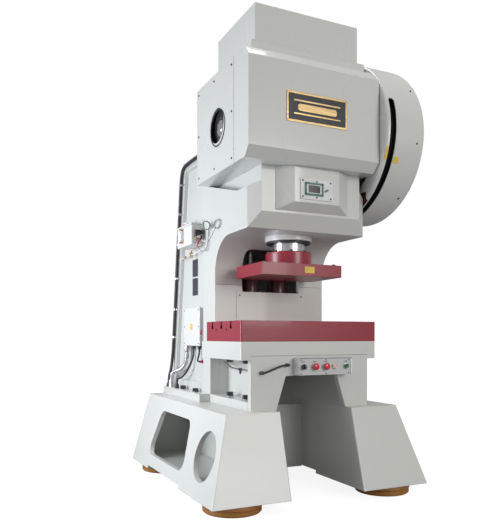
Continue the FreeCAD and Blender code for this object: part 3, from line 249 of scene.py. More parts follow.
def foil_metal(name):
    """Crinkled galvanised wrap of the flexible conduit."""
    shader = Shader(name)
    folds = shader.noise(70.0, 5.0, (1, 1, 0.5), 0.6)
    base = shader.mix(shader.ramp(folds, 0.3, 0.7), (0.33, 0.32, 0.34), (0.86, 0.85, 0.87))
    shader.link(base, shader.surface.inputs["Base Color"])
    shader.set(Metallic=0.9, Roughness=0.28)
    shader.bumps((folds, 0.7, 0.004))
    return shader.material


def floor_material():
    """Near white where the camera sees it, mid grey in bounces and reflections."""
    shader = Shader("studio_floor")
    shade = shader.mix(shader.noise(0.7, 2.0), (0.32, 0.32, 0.33), (0.28, 0.28, 0.29))
    shader.link(shade, shader.surface.inputs["Base Color"])
    seen = shader.node("ShaderNodeLightPath").outputs["Is Camera Ray"]
    shader.link(shader.ramp(seen, 0.0, 1.0, 0.0, 0.88), shader.surface.inputs["Emission Strength"])
    shader.set(Roughness=0.85, Emission_Color=(1, 1, 1, 1))
    return shader.material


OFF_WHITE = (0.62, 0.625, 0.60)
GRIME = (0.53, 0.525, 0.49)
BARE = (0.36, 0.35, 0.34)
LOOKS = {
    "frame_paint": enamel("look_frame_paint", OFF_WHITE, 0.3, BARE, GRIME),
    "cover_paint": enamel("look_cover_paint", (0.63, 0.64, 0.62), 0.22, BARE, GRIME, 0.003, 0.6),
    "box_paint": enamel("look_box_paint", (0.70, 0.70, 0.69), 0.35, BARE, GRIME, 0.002, 0.2),
    # red paint gets near-black painted shade in its slots and hollows (last argument)
    "red_paint": enamel("look_red_paint", (0.29, 0.018, 0.038), 0.3, (0.5, 0.16, 0.18),
                        (0.24, 0.016, 0.032), 0.003, 0.2,
                        ((0.012, 0.008, 0.01), 0.035, 0.15, 0.42)),
    "dark_red_paint": enamel("look_dark_red_paint", (0.11, 0.014, 0.024), 0.32, (0.3, 0.1, 0.1),
                             (0.06, 0.012, 0.018), 0.003, 0.3),
    "motor_paint": enamel("look_motor_paint", (0.10, 0.16, 0.24), 0.38, (0.3, 0.3, 0.3),
                          (0.06, 0.09, 0.13), 0.002, 0.1),
    "pad_brown": pad_material("look_pad_brown"),
    "black_bolts": moulded("look_black_bolts", (0.022, 0.02, 0.028), 0.32, 300.0, 0.2, 0.3),
    "chrome_plate": bare_metal("look_chrome_plate", (0.85, 0.85, 0.87), 0.14, (1, 1, 0.02), 34.0,
                               0.1),
    "machined_steel": bare_metal("look_machined_steel", (0.52, 0.52, 0.53), 0.28, (0.1, 1, 1)),
    "grey_iron": cast_iron("look_grey_iron", (0.28, 0.28, 0.29)),
    "bronze": bare_metal("look_bronze", (0.62, 0.44, 0.2), 0.3, (0.1, 1, 1)),
    "brass_trim": bare_metal("look_brass_trim", (0.83, 0.6, 0.3), 0.22, (0.05, 1, 1), 80.0, 0.05),
    "black_rubber": moulded("look_black_rubber", (0.02, 0.019, 0.024), 0.45, 260.0, 0.2),
    "display_white": moulded("look_display_white", (0.70, 0.70, 0.73), 0.35, 300.0, 0.05, 0.2),
    "clear_glass": clear("look_clear_glass", (0.92, 0.92, 0.9), 0.05),
    "clear_tube": clear("look_clear_tube", (0.55, 0.58, 0.56), 0.25),
    "metal_conduit": foil_metal("look_metal_conduit"),
    "panel_steel": enamel("look_panel_steel", (0.56, 0.56, 0.565), 0.38, (0.7, 0.7, 0.7),
                          (0.45, 0.45, 0.45), 0.001, 0.1),
    "button_red": moulded("look_button_red", (0.55, 0.02, 0.045), 0.25, 300.0, 0.03, 0.5),
    "button_green": moulded("look_button_green", (0.012, 0.16, 0.085), 0.25, 300.0, 0.03, 0.5),
    "button_black": moulded("look_button_black", (0.015, 0.014, 0.02), 0.3, 300.0, 0.05, 0.4),
}
EXTRA = {
    # seam: dark strips of painted shade laid along gaps and joints between panels
    "seam": moulded("look_seam_shadow", (0.16, 0.16, 0.165), 0.7),
    # near-black material standing in for the shade inside the cover's round hole
    "dark_inside": moulded("look_dark_inside", (0.02, 0.02, 0.024), 0.7),
    "bezel_green": moulded("look_bezel_green", (0.06, 0.17, 0.12), 0.3, 300.0, 0.04, 0.3),
    "screen": moulded("look_screen", (0.018, 0.015, 0.025), 0.12, 500.0, 0.02, 0.8),
    "lamp_lens": moulded("look_lamp_lens", (0.72, 0.48, 0.22), 0.2, 200.0, 0.05, 0.5),
    "label_yellow": moulded("look_label_yellow", (0.72, 0.5, 0.06), 0.4, 300.0, 0.04),
    "plate_blue_grey": bare_metal("look_plate_blue_grey", (0.17, 0.17, 0.22), 0.42, (1, 0.1, 1)),
    "red_tube": moulded("look_red_tube", (0.42, 0.02, 0.05), 0.35, 300.0, 0.05, 0.3),
    "orange_elbow": bare_metal("look_orange_elbow", (0.72, 0.36, 0.16), 0.3, (1, 1, 0.2)),
    "white_plastic": moulded("look_white_plastic", (0.78, 0.78, 0.79), 0.35, 300.0, 0.04, 0.2),
    "pale_metal": bare_metal("look_pale_metal", (0.75, 0.74, 0.74), 0.24, (1, 0.2, 1)),
}


def paint_cad_nodes():
    for entry in frame["record"]["subparts"]:
        node = frame["nodes"][entry["node"]]
        look = LOOKS[entry["material_slot"]]
        if not node.material_slots:
            node.data.materials.append(look)
        for place in node.material_slots:
            place.material = look


# ---- mesh helpers -------------------------------------------------------------------------
def piece(name, form, look, slot=None, body="frame", bevel=0.0, segments=2, angle=30.0):
    """Object from a bmesh, riding on a body, with softened edges; the slot argument is not used.
    """
    bmesh.ops.recalc_face_normals(form, faces=form.faces)
    mesh = bpy.data.meshes.new(name)
    form.to_mesh(mesh)
    form.free()
    mesh.materials.append(EXTRA[look] if look in EXTRA else LOOKS[look])
    mesh.shade_smooth()
    mesh.set_sharp_from_angle(angle=math.radians(angle))
    made = bpy.data.objects.new(name, mesh)
    bpy.context.scene.collection.objects.link(made)
    if bevel:
        edge = made.modifiers.new("edges", "BEVEL")
        edge.width = bevel
        edge.segments = segments
        edge.limit_method = "ANGLE"
        edge.angle_limit = math.radians(angle)
        edge.harden_normals = True
    slot = slot or look
    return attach(made, body)


def add_box(form, low, high):
    low = Vector(low)
    high = Vector(high)
    place = Matrix.LocRotScale((low + high) / 2, None, high - low)
    bmesh.ops.create_cube(form, size=1.0, matrix=place)


def add_turned(form, profile, centre, axis, count=32):
    """Turn (radius, height) points round the axis through centre; radius 0 closes an end."""
    axis = Vector(axis).normalized()
    side = X.cross(axis) if abs(axis.x) < 0.9 else Z.cross(axis)
    side.normalize()
    other = axis.cross(side)
    rings = []
    for radius, height in profile:
        middle = Vector(centre) + axis * height
        if radius < 1e-7:
            rings.append([form.verts.new(middle)])
            continue
        turns = [2 * math.pi * i / count for i in range(count)]
        rings.append([form.verts.new(middle + (side * math.cos(a) + other * math.sin(a)) * radius)
                      for a in turns])
    for low, high in zip(rings, rings[1:]):
        for i in range(count):
            j = (i + 1) % count
            corners = [low[i % len(low)], low[j % len(low)], high[j % len(high)],
                       high[i % len(high)]]
            corners = [v for k, v in enumerate(corners) if v not in corners[:k]]
            if len(corners) > 2:
                form.faces.new(corners)


def add_rod(form, radius, length, centre, axis, count):
    add_turned(form, [(0, 0), (radius, 0), (radius, length), (0, length)], centre, axis, count)


def add_ring(form, outer, inner, centre, axis, length, count=40):
    profile = [(inner, 0), (outer, 0), (outer, length), (inner, length), (inner, 0)]
    add_turned(form, profile, centre, axis, count)
    bmesh.ops.remove_doubles(form, verts=form.verts, dist=1e-6)


def add_screw(form, seat, axis, radius):
    """Pan head screw standing on its seat."""
    high = radius * 0.7
    profile = [(0, high * 0.55), (radius * 0.45, high * 0.6), (radius * 0.5, high),
               (radius * 0.8, high * 0.8), (radius, high * 0.3), (radius, 0), (0, 0)]
    add_turned(form, profile, seat, axis, 16)


def add_hex(form, seat, axis, corner, high, dish=True):
    """Chamfered hexagon head or nut."""
    top = [(0, high * 0.94), (corner * 0.55, high * 0.94)] if dish else [(0, high)]
    profile = top + [(corner * 0.62, high), (corner * 0.84, high), (corner, high * 0.84),
                     (corner, 0), (0, 0)]
    add_turned(form, profile, seat, axis, 6)


def rounded_plate(form, low, high, radius, corners=6):
    """Plate in the X-Z plane with rounded corners, between low.y and high.y."""
    low = Vector(low)
    high = Vector(high)
    outline = []
    centres = [(high.x - radius, high.z - radius), (low.x + radius, high.z - radius),
               (low.x + radius, low.z + radius), (high.x - radius, low.z + radius)]
    for quarter, (cx, cz) in enumerate(centres):
        for step in range(corners + 1):
            turn = math.pi / 2 * (quarter + step / corners)
            outline.append((cx + radius * math.cos(turn), cz + radius * math.sin(turn)))
    add_prism(form, [(x, low.y, z) for x, z in outline], [(x, high.y, z) for x, z in outline])


def add_prism(form, near_points, far_points):
    """Closed solid between two outlines with as many points."""
    near = [form.verts.new(p) for p in near_points]
    far = [form.verts.new(p) for p in far_points]
    form.faces.new(near)
    form.faces.new(far[::-1])
    for i in range(len(near)):
        j = (i + 1) % len(near)
        form.faces.new([near[i], near[j], far[j], far[i]])


def frame_strip(form, low, high, width):
    """Rectangular frame in the X-Z plane with the given strip width, four mitred bars."""
    low = Vector(low)
    high = Vector(high)
    outer = [(low.x, low.z), (high.x, low.z), (high.x, high.z), (low.x, high.z)]
    inner = [(low.x + width, low.z + width), (high.x - width, low.z + width),
             (high.x - width, high.z - width), (low.x + width, high.z - width)]
    loops = [[form.verts.new((x, y, z)) for x, z in line]
             for y, line in ((high.y, outer), (low.y, outer), (low.y, inner), (high.y, inner))]
    for a, b in zip(loops, loops[1:] + loops[:1]):
        for i in range(4):
            j = (i + 1) % 4
            form.faces.new([a[i], a[j], b[j], b[i]])


def box_piece(name, low, high, look, slot=None, body="frame", **more):
    """Piece that is one box."""
    form = bmesh.new()
    add_box(form, low, high)
    return piece(name, form, look, slot, body, **more)


def screws(name, places, axis, radius, look="black_bolts", slot=None, body="frame"):
    """Socket screws at the places, all facing along the axis."""
    form = bmesh.new()
    for place in places:
        add_screw(form, place, axis, radius)
    return piece(name, form, look, slot, body)


def cord(name, points, radius, look, slot=None, body="frame"):
    """Round cord whose centre line is one smooth NURBS spline through control points."""
    curve = bpy.data.curves.new(name, "CURVE")
    curve.dimensions = "3D"
    curve.bevel_depth = radius
    curve.bevel_resolution = 5
    curve.use_fill_caps = True
    spline = curve.splines.new("NURBS")
    spline.points.add(len(points) - 1)
    for place, point in zip(spline.points, points):
        place.co = (*point, 1)
    spline.order_u = 3
    spline.use_endpoint_u = True
    spline.resolution_u = 10
    curve.materials.append(EXTRA[look] if look in EXTRA else LOOKS[look])
    made = bpy.data.objects.new(name, curve)
    bpy.context.scene.collection.objects.link(made)
    slot = slot or look
    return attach(made, body)


def press(x, y, z):
    """Point from millimetres off the centre plane, behind the bed's front and over the floor."""
    return Vector((x / 1000, BED_FRONT_Y + y / 1000, z / 1000))


def route(*points):
    return [press(*point) for point in points]


def centre_line(points):
    """Points along the NURBS spline of a route."""
    probe = cord("probe", points, 0.0, "black_rubber")
    mesh = bpy.data.meshes.new_from_object(probe)
    line = [v.co.copy() for v in mesh.vertices]
    bpy.data.curves.remove(probe.data)
    bpy.data.meshes.remove(mesh)
    return line


# ---- studio -------------------------------------------------------------------------------
def studio():
    form = bmesh.new()
    bmesh.ops.create_grid(form, x_segments=1, y_segments=1, size=40.0)
    mesh = bpy.data.meshes.new("studio_floor")
    form.to_mesh(mesh)
    form.free()
    mesh.materials.append(floor_material())
    floor = bpy.data.objects.new("studio_floor", mesh)
    bpy.context.scene.collection.objects.link(floor)

    world = bpy.data.worlds.new("studio")
    bpy.context.scene.world = world
    world.use_nodes = True
    nodes = world.node_tree.nodes
    nodes["Background"].inputs["Color"].default_value = (1, 1, 1, 1)
    seen = nodes.new("ShaderNodeLightPath").outputs["Is Camera Ray"]
    level = nodes.new("ShaderNodeMapRange")
    level.inputs["To Min"].default_value = 0.47
    level.inputs["To Max"].default_value = 1.0
    world.node_tree.links.new(seen, level.inputs["Value"])
    world.node_tree.links.new(level.outputs["Result"], nodes["Background"].inputs["Strength"])
    lamp("key_left", (-4.2, 0.3, 0.9), (-0.4, 0.2, 0.9), 2.4, 105, (0.90, 0.94, 1.0))
    lamp("window_glow", (-2.1, 0.0, 1.3), (-0.4, 0.0, 1.25), 0.8, 20, (0.86, 0.92, 1.0))
    lamp("top_soft", (-0.5, 0.5, 7.5), (0.0, 0.2, 1.0), 4.0, 190, (1, 1, 1))
    lamp("front_fill", (2.2, -7.5, 2.6), (0.2, 0.0, 1.3), 3.0, 195, (1.0, 0.985, 0.955))


def lamp(name, place, target, size, power, colour):
    light = bpy.data.lights.new(name, "AREA")
    light.size = size
    light.energy = power
    light.color = colour
    made = bpy.data.objects.new(name, light)
    made.location = place
    made.rotation_euler = (Vector(target) - Vector(place)).to_track_quat("-Z", "Y").to_euler()
    bpy.context.scene.collection.objects.link(made)


def camera():
    """Level camera to the left of the front; the shift keeps upright edges upright."""
    lens = bpy.data.cameras.new("camera")
    lens.lens = 41.75
    lens.sensor_width = 36.0
    lens.shift_y = 0.1334
    lens.clip_end = 100
    made = bpy.data.objects.new("camera", lens)
    made.location = (-1.8694, -3.6274, 0.9408)
    made.rotation_euler = (math.radians(90), 0, math.radians(-25.33))
    bpy.context.scene.collection.objects.link(made)
    bpy.context.scene.camera = made
    bpy.context.scene.view_settings.view_transform = "Standard"


# ---- covers -------------------------------------------------------------------------------
def cover_trim():
    low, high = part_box("cover_side_left")
    face = low.x
    inset = 0.036
    columns = [low.y + 0.028, (low.y + high.y) / 2, high.y - 0.033]
    rows = [low.z + inset, (low.z + high.z) / 2, high.z - inset]
    form = bmesh.new()
    for i, y in enumerate(columns):
        for j, z in enumerate(rows):
            if i != 1 or j != 1:
                add_screw(form, (face, y, z), -X, 0.0062)
    piece("left_cover_screws", form, "black_bolts")

    # painted shade: dark strip along the front edge of the left cover side, standing for shade in
    # the joint
    box_piece("left_cover_seam_shade", (face - 0.0006, low.y - 0.0012, low.z + 0.002),
              (face + 0.001, low.y + 0.0012, high.z - 0.002), "seam", "cover_paint")

    form = bmesh.new()
    low2, high2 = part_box("cover_side_right")
    for y in (low2.y + 0.03, high2.y - 0.03):
        for z in (low2.z + inset, high2.z - inset):
            add_screw(form, (high2.x, y, z), X, 0.0062)
    for x in (low.x + 0.05, 0.0, high2.x - 0.05):
        for z in (low.z + 0.35, low.z + 0.55):
            add_screw(form, (x, high.y, z), Y, 0.0062)
    piece("rear_cover_screws", form, "black_bolts")


def side_hole():
    """Rolled rim and dark disc behind it, both painted shade, and the encoder face in the round
    hole of the left cover.
    """
    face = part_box("cover_side_left")[0].x
    low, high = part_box("encoder_disc")
    middle = (low + high) / 2
    # painted shade: the rolled rim of the hole is near black
    form = bmesh.new()
    profile = [(0.0995, 0.004), (0.0995, -0.002), (0.1015, -0.0035), (0.106, -0.003),
               (0.1075, 0.0), (0.0995, 0.004)]
    add_turned(form, profile, (face, middle.y, middle.z), X, 64)
    piece("side_hole_rim", form, "dark_inside", "cover_paint")

    # painted shade: black disc behind the encoder so the inside of the hole reads dark
    form = bmesh.new()
    add_turned(form, [(0.14, 0.0), (0.14, 0.004), (0.042, 0.004), (0.042, 0.0), (0.14, 0.0)],
               (high.x + 0.004, middle.y, middle.z), X, 64)
    piece("side_hole_shade_disc", form, "dark_inside", "black_rubber")

    form = bmesh.new()
    add_turned(form, [(0, 0.010), (0.062, 0.010), (0.062, 0.0), (0.052, 0.0), (0.052, 0.003),
                      (0.0, 0.003)], (low.x, middle.y, middle.z), X, 56)
    drum = piece("encoder_drum", form, "button_black", "machined_steel", "crank", 0.0008)
    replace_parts(drum, "encoder_disc")
    form = bmesh.new()
    add_turned(form, [(0, -0.004), (0.02, -0.004), (0.024, 0.0), (0.046, 0.0), (0.046, 0.004),
                      (0, 0.004)], (low.x, middle.y, middle.z), X, 48)
    for i in range(4):
        turn = math.radians(45 + 90 * i)
        seat = (low.x, middle.y + 0.035 * math.cos(turn), middle.z + 0.035 * math.sin(turn))
        add_hex(form, seat, -X, 0.006, 0.004)
    piece("encoder_face", form, "pale_metal", "machined_steel", "crank", 0.0006)


def name_plate():
    """Brass framed black plate with plain brass bars in place of lettering."""
    low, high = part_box("name_plate")
    form = bmesh.new()
    frame_strip(form, low, high, 0.012)
    rim = piece("name_plate_frame", form, "brass_trim", bevel=0.0015)
    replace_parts(rim, "name_plate")
    box_piece("name_plate_field", (low.x + 0.009, low.y + 0.0015, low.z + 0.009),
              (high.x - 0.009, high.y, high.z - 0.009), "button_black", "brass_trim")
    form = bmesh.new()
    middle = (low + high) / 2
    for z, half_w, half_h in ((0.0, 0.125, 0.019), (0.036, 0.15, 0.004), (-0.036, 0.15, 0.004)):
        start = (middle.x - half_w, low.y + 0.0002, middle.z + z - half_h)
        end = (middle.x + half_w, low.y + 0.0022, middle.z + z + half_h)
        rounded_plate(form, start, end, half_h * 0.8)
    piece("name_plate_bars", form, "brass_trim", bevel=0.0005)
    screws("name_plate_screws",
           [(x, low.y, z) for x in (low.x + 0.006, high.x - 0.006)
            for z in (low.z + 0.006, high.z - 0.006)], -Y, 0.003, "machined_steel", "brass_trim")


def display():
    low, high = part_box("display_panel")
    face = high.y - 0.006
    form = bmesh.new()
    rounded_plate(form, (low.x, face, low.z), high, 0.006)
    plate = piece("display_plate", form, "display_white", bevel=0.0008)
    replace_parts(plate, "display_panel")
    screws("display_screws",
           [(x, face, z) for x in (low.x + 0.013, (low.x + high.x) / 2, high.x - 0.013)
            for z in (low.z + 0.013, high.z - 0.013)], -Y, 0.0052, "button_black", "black_bolts")
    west = low.x + 0.026
    east = low.x + 0.146
    south = low.z + 0.022
    north = high.z - 0.022
    form = bmesh.new()
    frame_strip(form, (west, face - 0.008, south), (east, face, north), 0.011)
    piece("display_bezel", form, "bezel_green", "display_white", bevel=0.002, segments=3)
    screws("display_bezel_screws",
           [(x, face - 0.008, z) for x in (west + 0.006, east - 0.006)
            for z in (south + 0.006, north - 0.006)], -Y, 0.0042, "button_black", "black_bolts")
    form = bmesh.new()
    rounded_plate(form, (west + 0.010, face - 0.004, south + 0.010),
                  (east - 0.010, face, north - 0.010), 0.002)
    piece("display_inner_frame", form, "display_white", bevel=0.0006)
    form = bmesh.new()
    rounded_plate(form, (west + 0.022, face - 0.0055, south + 0.016),
                  (east - 0.022, face - 0.003, north - 0.016), 0.0015)
    piece("display_screen", form, "screen", "display_white", bevel=0.0005)
    form = bmesh.new()
    for i in range(3):
        x = east + 0.010 + 0.009 * i
        z = (south + north) / 2 - 0.006 + 0.004 * i
        rounded_plate(form, (x, face - 0.0035, z - 0.005), (x + 0.006, face, z + 0.005), 0.0015)
    piece("display_keys", form, "button_black", bevel=0.0004)


def guard_trim():
    """Blank labels and fastening screws on the flywheel guard."""
    low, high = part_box("flywheel_guard")
    axis_low, axis_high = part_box("encoder_disc")
    centre = (axis_low + axis_high) / 2
    radius = centre.y - low.y

    def rim_patch(x, degrees, half_w, half_h, lift=0.0008):
        """Thin sheet that follows the round rim."""
        form = bmesh.new()
        rows = []
        for k in range(9):
            turn = math.radians(degrees) + (k - 4) / 4 * half_h / radius
            for r in (radius + lift, radius - 0.001):
                y = centre.y - r * math.cos(turn)
                z = centre.z + r * math.sin(turn)
                rows.append([form.verts.new((x + side, y, z)) for side in (-half_w, half_w)])
        outer = rows[0::2]
        inner = rows[1::2]
        for a, b in zip(range(8), range(1, 9)):
            form.faces.new([outer[a][0], outer[a][1], outer[b][1], outer[b][0]])
            form.faces.new([inner[a][0], inner[b][0], inner[b][1], inner[a][1]])
            for side in (0, 1):
                form.faces.new([outer[a][side], outer[b][side], inner[b][side], inner[a][side]])
        for end in (0, 8):
            form.faces.new([outer[end][0], outer[end][1], inner[end][1], inner[end][0]])
        return form
    slot_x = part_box("frame_side_right")[1].x + 0.025
    piece("guard_label_left", rim_patch(slot_x - 0.0305, -19.0, 0.0085, 0.036), "label_yellow",
          "cover_paint")
    piece("guard_label_right", rim_patch(slot_x + 0.045, -23.0, 0.018, 0.019), "label_yellow",
          "cover_paint")
    form = bmesh.new()
    for degrees in (70.0, 30.0, -10.0, -50.0):
        turn = math.radians(degrees)
        way = Vector((0, -math.cos(turn), math.sin(turn)))
        seat = Vector((high.x - 0.085, centre.y, centre.z)) + way * radius
        add_screw(form, seat, way, 0.006)
    piece("guard_screws", form, "black_bolts")


# ---- throat, bed and feet -----------------------------------------------------------------
def throat_trim():
    low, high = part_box("throat_cover_plate")
    screws("throat_plate_screws",
           [(x, low.y, high.z - 0.038) for x in (low.x + 0.022, high.x - 0.022)], -Y, 0.005)
    # painted shade: dark strips on the throat wall, standing for shade in the joint line
    form = bmesh.new()
    seam_z = high.z + 0.027
    for x0, x1 in ((-0.386, -0.207), (0.207, 0.386)):
        add_box(form, (x0, high.y - 0.0006, seam_z - 0.001), (x1, high.y + 0.001, seam_z + 0.001))
    piece("throat_wall_seam_shade", form, "seam", "frame_paint")


def bed_seam():
    """Painted shade: dark strip along the joint between the bed block and the front plate."""
    low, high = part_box("front_plate")
    box_piece("front_plate_seam_shade", (low.x, low.y - 0.0006, high.z - 0.0009),
              (high.x, low.y + 0.001, high.z + 0.0009), "seam", "frame_paint")


def bolt_groups():
    """Chamfered bolts with washers over the flange and under the bed."""
    flange_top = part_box("base_flanges")[1].z
    under_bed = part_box("bed_block")[0].z
    bolts = bmesh.new()
    washers = bmesh.new()
    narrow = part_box("frame_side_right")[1].x - 0.060
    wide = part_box("base_flanges")[1].x - 0.035
    for side in (-1, 1):
        for x, y, hung in ((narrow, 185, True), (narrow, 411, True), (wide, 750, False),
                           (wide, 990, False)):
            place = Vector((side * x, press(0, y, 0).y, flange_top))
            add_ring(washers, 0.0235, 0.012, place, Z, 0.003)
            add_hex(bolts, place + Z * 0.003, Z, 0.0205, 0.023)
            if hung:
                place = Vector((place.x, place.y, under_bed))
                add_ring(washers, 0.0235, 0.012, place, -Z, 0.003)
                add_hex(bolts, place - Z * 0.003, -Z, 0.0205, 0.023)
    heads = piece("bolt_heads", bolts, "black_bolts")
    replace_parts(heads, "anchor_bolts")
    piece("bolt_washers", washers, "machined_steel", "black_bolts")


def weld_beads():
    """Small fillet welds where the webs and the flange meet."""
    form = bmesh.new()
    low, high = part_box("bed_webs")
    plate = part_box("front_plate")[1].y
    radius = 0.012
    inner = 0.264
    for side in (-1, 1):
        x = side * inner
        for z in (low.z, high.z):
            up = 1 if z == low.z else -1
            points = [(x, z), (x + side * radius, z), (x, z + up * radius)]
            add_prism(form, [(px, plate, pz) for px, pz in points],
                      [(px, plate + WEB_LENGTH, pz) for px, pz in points])
    piece("web_welds", form, "frame_paint")


def bed_pipes():
    """Thin oil pipe with a tee under the left overhang of the bed."""
    pipe = route((-300, 560, 772), (-312, 500, 770), (-322, 450, 760), (-330, 395, 748),
                 (-332, 330, 744), (-330, 260, 742), (-326, 190, 741), (-326, 120, 738),
                 (-327, 41, 735))
    cord("bed_oil_pipe", pipe, 0.0045, "machined_steel")
    form = bmesh.new()
    tee = press(-330, 262, 742)
    add_turned(form, [(0, -0.018), (0.008, -0.018), (0.008, 0.018), (0, 0.018)], tee, Y, 12)
    add_turned(form, [(0, 0), (0.007, 0), (0.007, 0.022), (0.0045, 0.024), (0, 0.03)], tee, -Z, 12)
    piece("bed_pipe_tee", form, "black_bolts", bevel=0.0006)


def pads():
    """Ochre pads: a dished cap on a slightly smaller base with a groove between them."""
    low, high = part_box("isolation_pads")
    radius = PAD_RADIUS
    form = bmesh.new()
    tall = high.z
    profile = [(0, tall), (radius - 0.010, tall), (radius - 0.003, tall - 0.004),
               (radius, tall - 0.011), (radius, tall * 0.55), (radius - 0.003, tall * 0.5),
               (radius - 0.010, tall * 0.46), (radius - 0.010, tall * 0.40),
               (radius - 0.004, tall * 0.36), (radius - 0.004, 0.006), (radius - 0.010, 0.0),
               (0, 0)]
    for x in (low.x + radius, high.x - radius):
        for y in (low.y + radius, high.y - radius):
            add_turned(form, profile, (x, y, 0), Z, 72)
    made = piece("vibration_pads", form, "pad_brown")
    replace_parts(made, "isolation_pads")


# ---- services on the left side ------------------------------------------------------------
def lubricator():
    low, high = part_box("lubricator_tank")
    body_top = press(0, 0, 1672).z
    face = low.x
    tank = box_piece("oil_tank", (face, low.y, low.z), (-0.390, high.y, body_top - 0.012),
                     "box_paint", bevel=0.004, segments=3)
    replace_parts(tank, "lubricator_tank")
    box_piece("oil_tank_lid", (face - 0.004, low.y - 0.004, body_top - 0.012),
              (-0.388, high.y + 0.004, body_top - 0.002), "box_paint", bevel=0.002)
    box_piece("oil_tank_pad", (-0.391, low.y + 0.07, low.z + 0.03),
              (-0.365, high.y - 0.06, body_top - 0.03), "frame_paint", bevel=0.002)
    form = bmesh.new()
    cap = (face + 0.040, high.y - 0.071, body_top - 0.002)
    profile = [(0.026, 0), (0.026, 0.010), (0.022, 0.012), (0.022, 0.026), (0.019, 0.030),
               (0.012, 0.031), (0.012, 0.036), (0, 0.037)]
    add_turned(form, [(0, 0)] + profile, cap, Z, 28)
    piece("filler_cap", form, "white_plastic", "box_paint", bevel=0.0008)
    form = bmesh.new()
    add_ring(form, 0.0265, 0.020, (cap[0], cap[1], cap[2] + 0.011), Z, 0.006, 28)
    piece("filler_cap_band", form, "red_tube", "box_paint")
    screws("oil_tank_screws",
           [(x, y, body_top - 0.002) for y in (low.y + 0.015, high.y - 0.015)
            for x in (face + 0.012, -0.402)], Z, 0.004, "machined_steel")


def sight_gauge():
    low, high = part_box("sight_gauge")
    x = low.x + 0.009
    y = (low.y + high.y) / 2
    form = bmesh.new()
    add_turned(form, [(0, 0), (0.0075, 0), (0.0075, high.z - low.z - 0.02),
                      (0, high.z - low.z - 0.02)], (x, y, low.z + 0.01), Z, 20)
    tube = piece("sight_tube", form, "white_plastic", "clear_glass", bevel=0.0005)
    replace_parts(tube, "sight_gauge")
    form = bmesh.new()
    for z in (low.z, high.z - 0.012):
        add_hex(form, (x, y, z), Z, 0.0105, 0.012, False)
        add_rod(form, 0.006, 0.016, (x, y, z + 0.006), X, 16)
    piece("sight_elbows", form, "orange_elbow", "brass_trim", bevel=0.0008)
    form = bmesh.new()
    for side in (-1, 1):
        add_box(form, (x - 0.002, y + side * 0.012 - 0.0016, low.z + 0.012),
                (x + 0.004, y + side * 0.012 + 0.0016, high.z - 0.012))
    piece("sight_guard_rods", form, "pale_metal", "machined_steel", bevel=0.0006)


def valve():
    """Solenoid block, coil, brass unions and the red pipe on the front of the tank."""
    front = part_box("lubricator_tank")[0].y - BED_FRONT_Y

    def on_tank(x, z, out=0.0):
        return press(x, 0, z) + Y * (front - out)

    form = bmesh.new()
    add_box(form, on_tank(-454, 1582, 0.022), on_tank(-424, 1622))
    add_box(form, on_tank(-418, 1598, 0.030), on_tank(-400, 1622))
    add_box(form, on_tank(-426, 1566, 0.020), on_tank(-408, 1584))
    made = piece("oil_valve", form, "button_black", bevel=0.0018)
    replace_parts(made, "lubricator_valve")
    form = bmesh.new()
    add_hex(form, on_tank(-452, 1564, 0.011), Z, 0.0095, 0.018)
    add_hex(form, on_tank(-446, 1622, 0.011), Z, 0.007, 0.010)
    piece("valve_unions", form, "brass_trim", bevel=0.0006)
    form = bmesh.new()
    add_rod(form, 0.010, 0.022, on_tank(-437, 1575, 0.012), -Y, 20)
    piece("valve_gauge", form, "pale_metal", "machined_steel", bevel=0.001)
    red = route((-418, 676, 1566), (-424, 672, 1556), (-436, 668, 1548), (-441, 668, 1534),
                (-442, 672, 1518), (-442, 680, 1508))
    cord("valve_red_pipe", red, 0.0045, "red_tube", "button_red")


def air_lines():
    """Clear air tube with two spare loops beside the head, and a thin return tube."""
    tube = cord("air_tube_run", route(
        (-444, 676, 1552), (-444, 676, 1520), (-430, 660, 1488), (-410, 630, 1480),
        (-402, 606, 1500), (-400, 594, 1540), (-400, 590, 1585), (-400, 585, 1620),
        (-400, 569, 1632)), 0.004, "clear_tube")
    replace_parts(tube, "air_tube")
    for k, (radius, depth) in enumerate(((26, 563), (27, 557))):
        turns = [math.radians(30 * i) for i in range(14)]
        coil = [press(-426 + radius * math.cos(a), depth - 0.4 * i, 1632 + radius * math.sin(a))
                for i, a in enumerate(turns)]
        cord("air_tube_coil_" + "ab"[k], coil, 0.0032, "clear_tube")
    side_loop = [press(-399, 455 + 52 * math.cos(math.radians(30 * i)),
                       1626 + 27 * math.sin(math.radians(30 * i))) for i in range(1, 15)]
    link = route((-408, 552, 1618), (-402, 530, 1612))
    cord("air_tube_side_loop", link + side_loop[::-1], 0.0036, "clear_tube")
    drop = route((-401, 500, 1610), (-399, 530, 1585), (-398, 570, 1560), (-398, 600, 1548),
                 (-398, 640, 1544), (-408, 668, 1552), (-420, 676, 1562))
    cord("air_tube_return", drop, 0.003, "white_plastic", "clear_tube")


def oil_line():
    """Thin grease line with a brass distributor under the tank."""
    run = route((-402, 1130, 1478), (-404, 1080, 1480), (-404, 1020, 1481), (-404, 960, 1484),
                (-404, 880, 1486), (-405, 800, 1490), (-402, 740, 1496), (-398, 690, 1506),
                (-394, 655, 1512), (-391, 640, 1512))
    cord("oil_line", run, 0.003, "white_plastic", "clear_tube")
    form = bmesh.new()
    add_hex(form, press(-404, 884, 1470), Z, 0.012, 0.034)
    add_rod(form, 0.007, 0.012, press(-404, 884, 1504), Z, 16)
    piece("oil_distributor", form, "brass_trim", bevel=0.0008)
    form = bmesh.new()
    add_rod(form, 0.008, 0.016, press(-404, 985, 1482), Y, 16)
    piece("oil_line_collar", form, "red_tube", "button_red", bevel=0.0008)


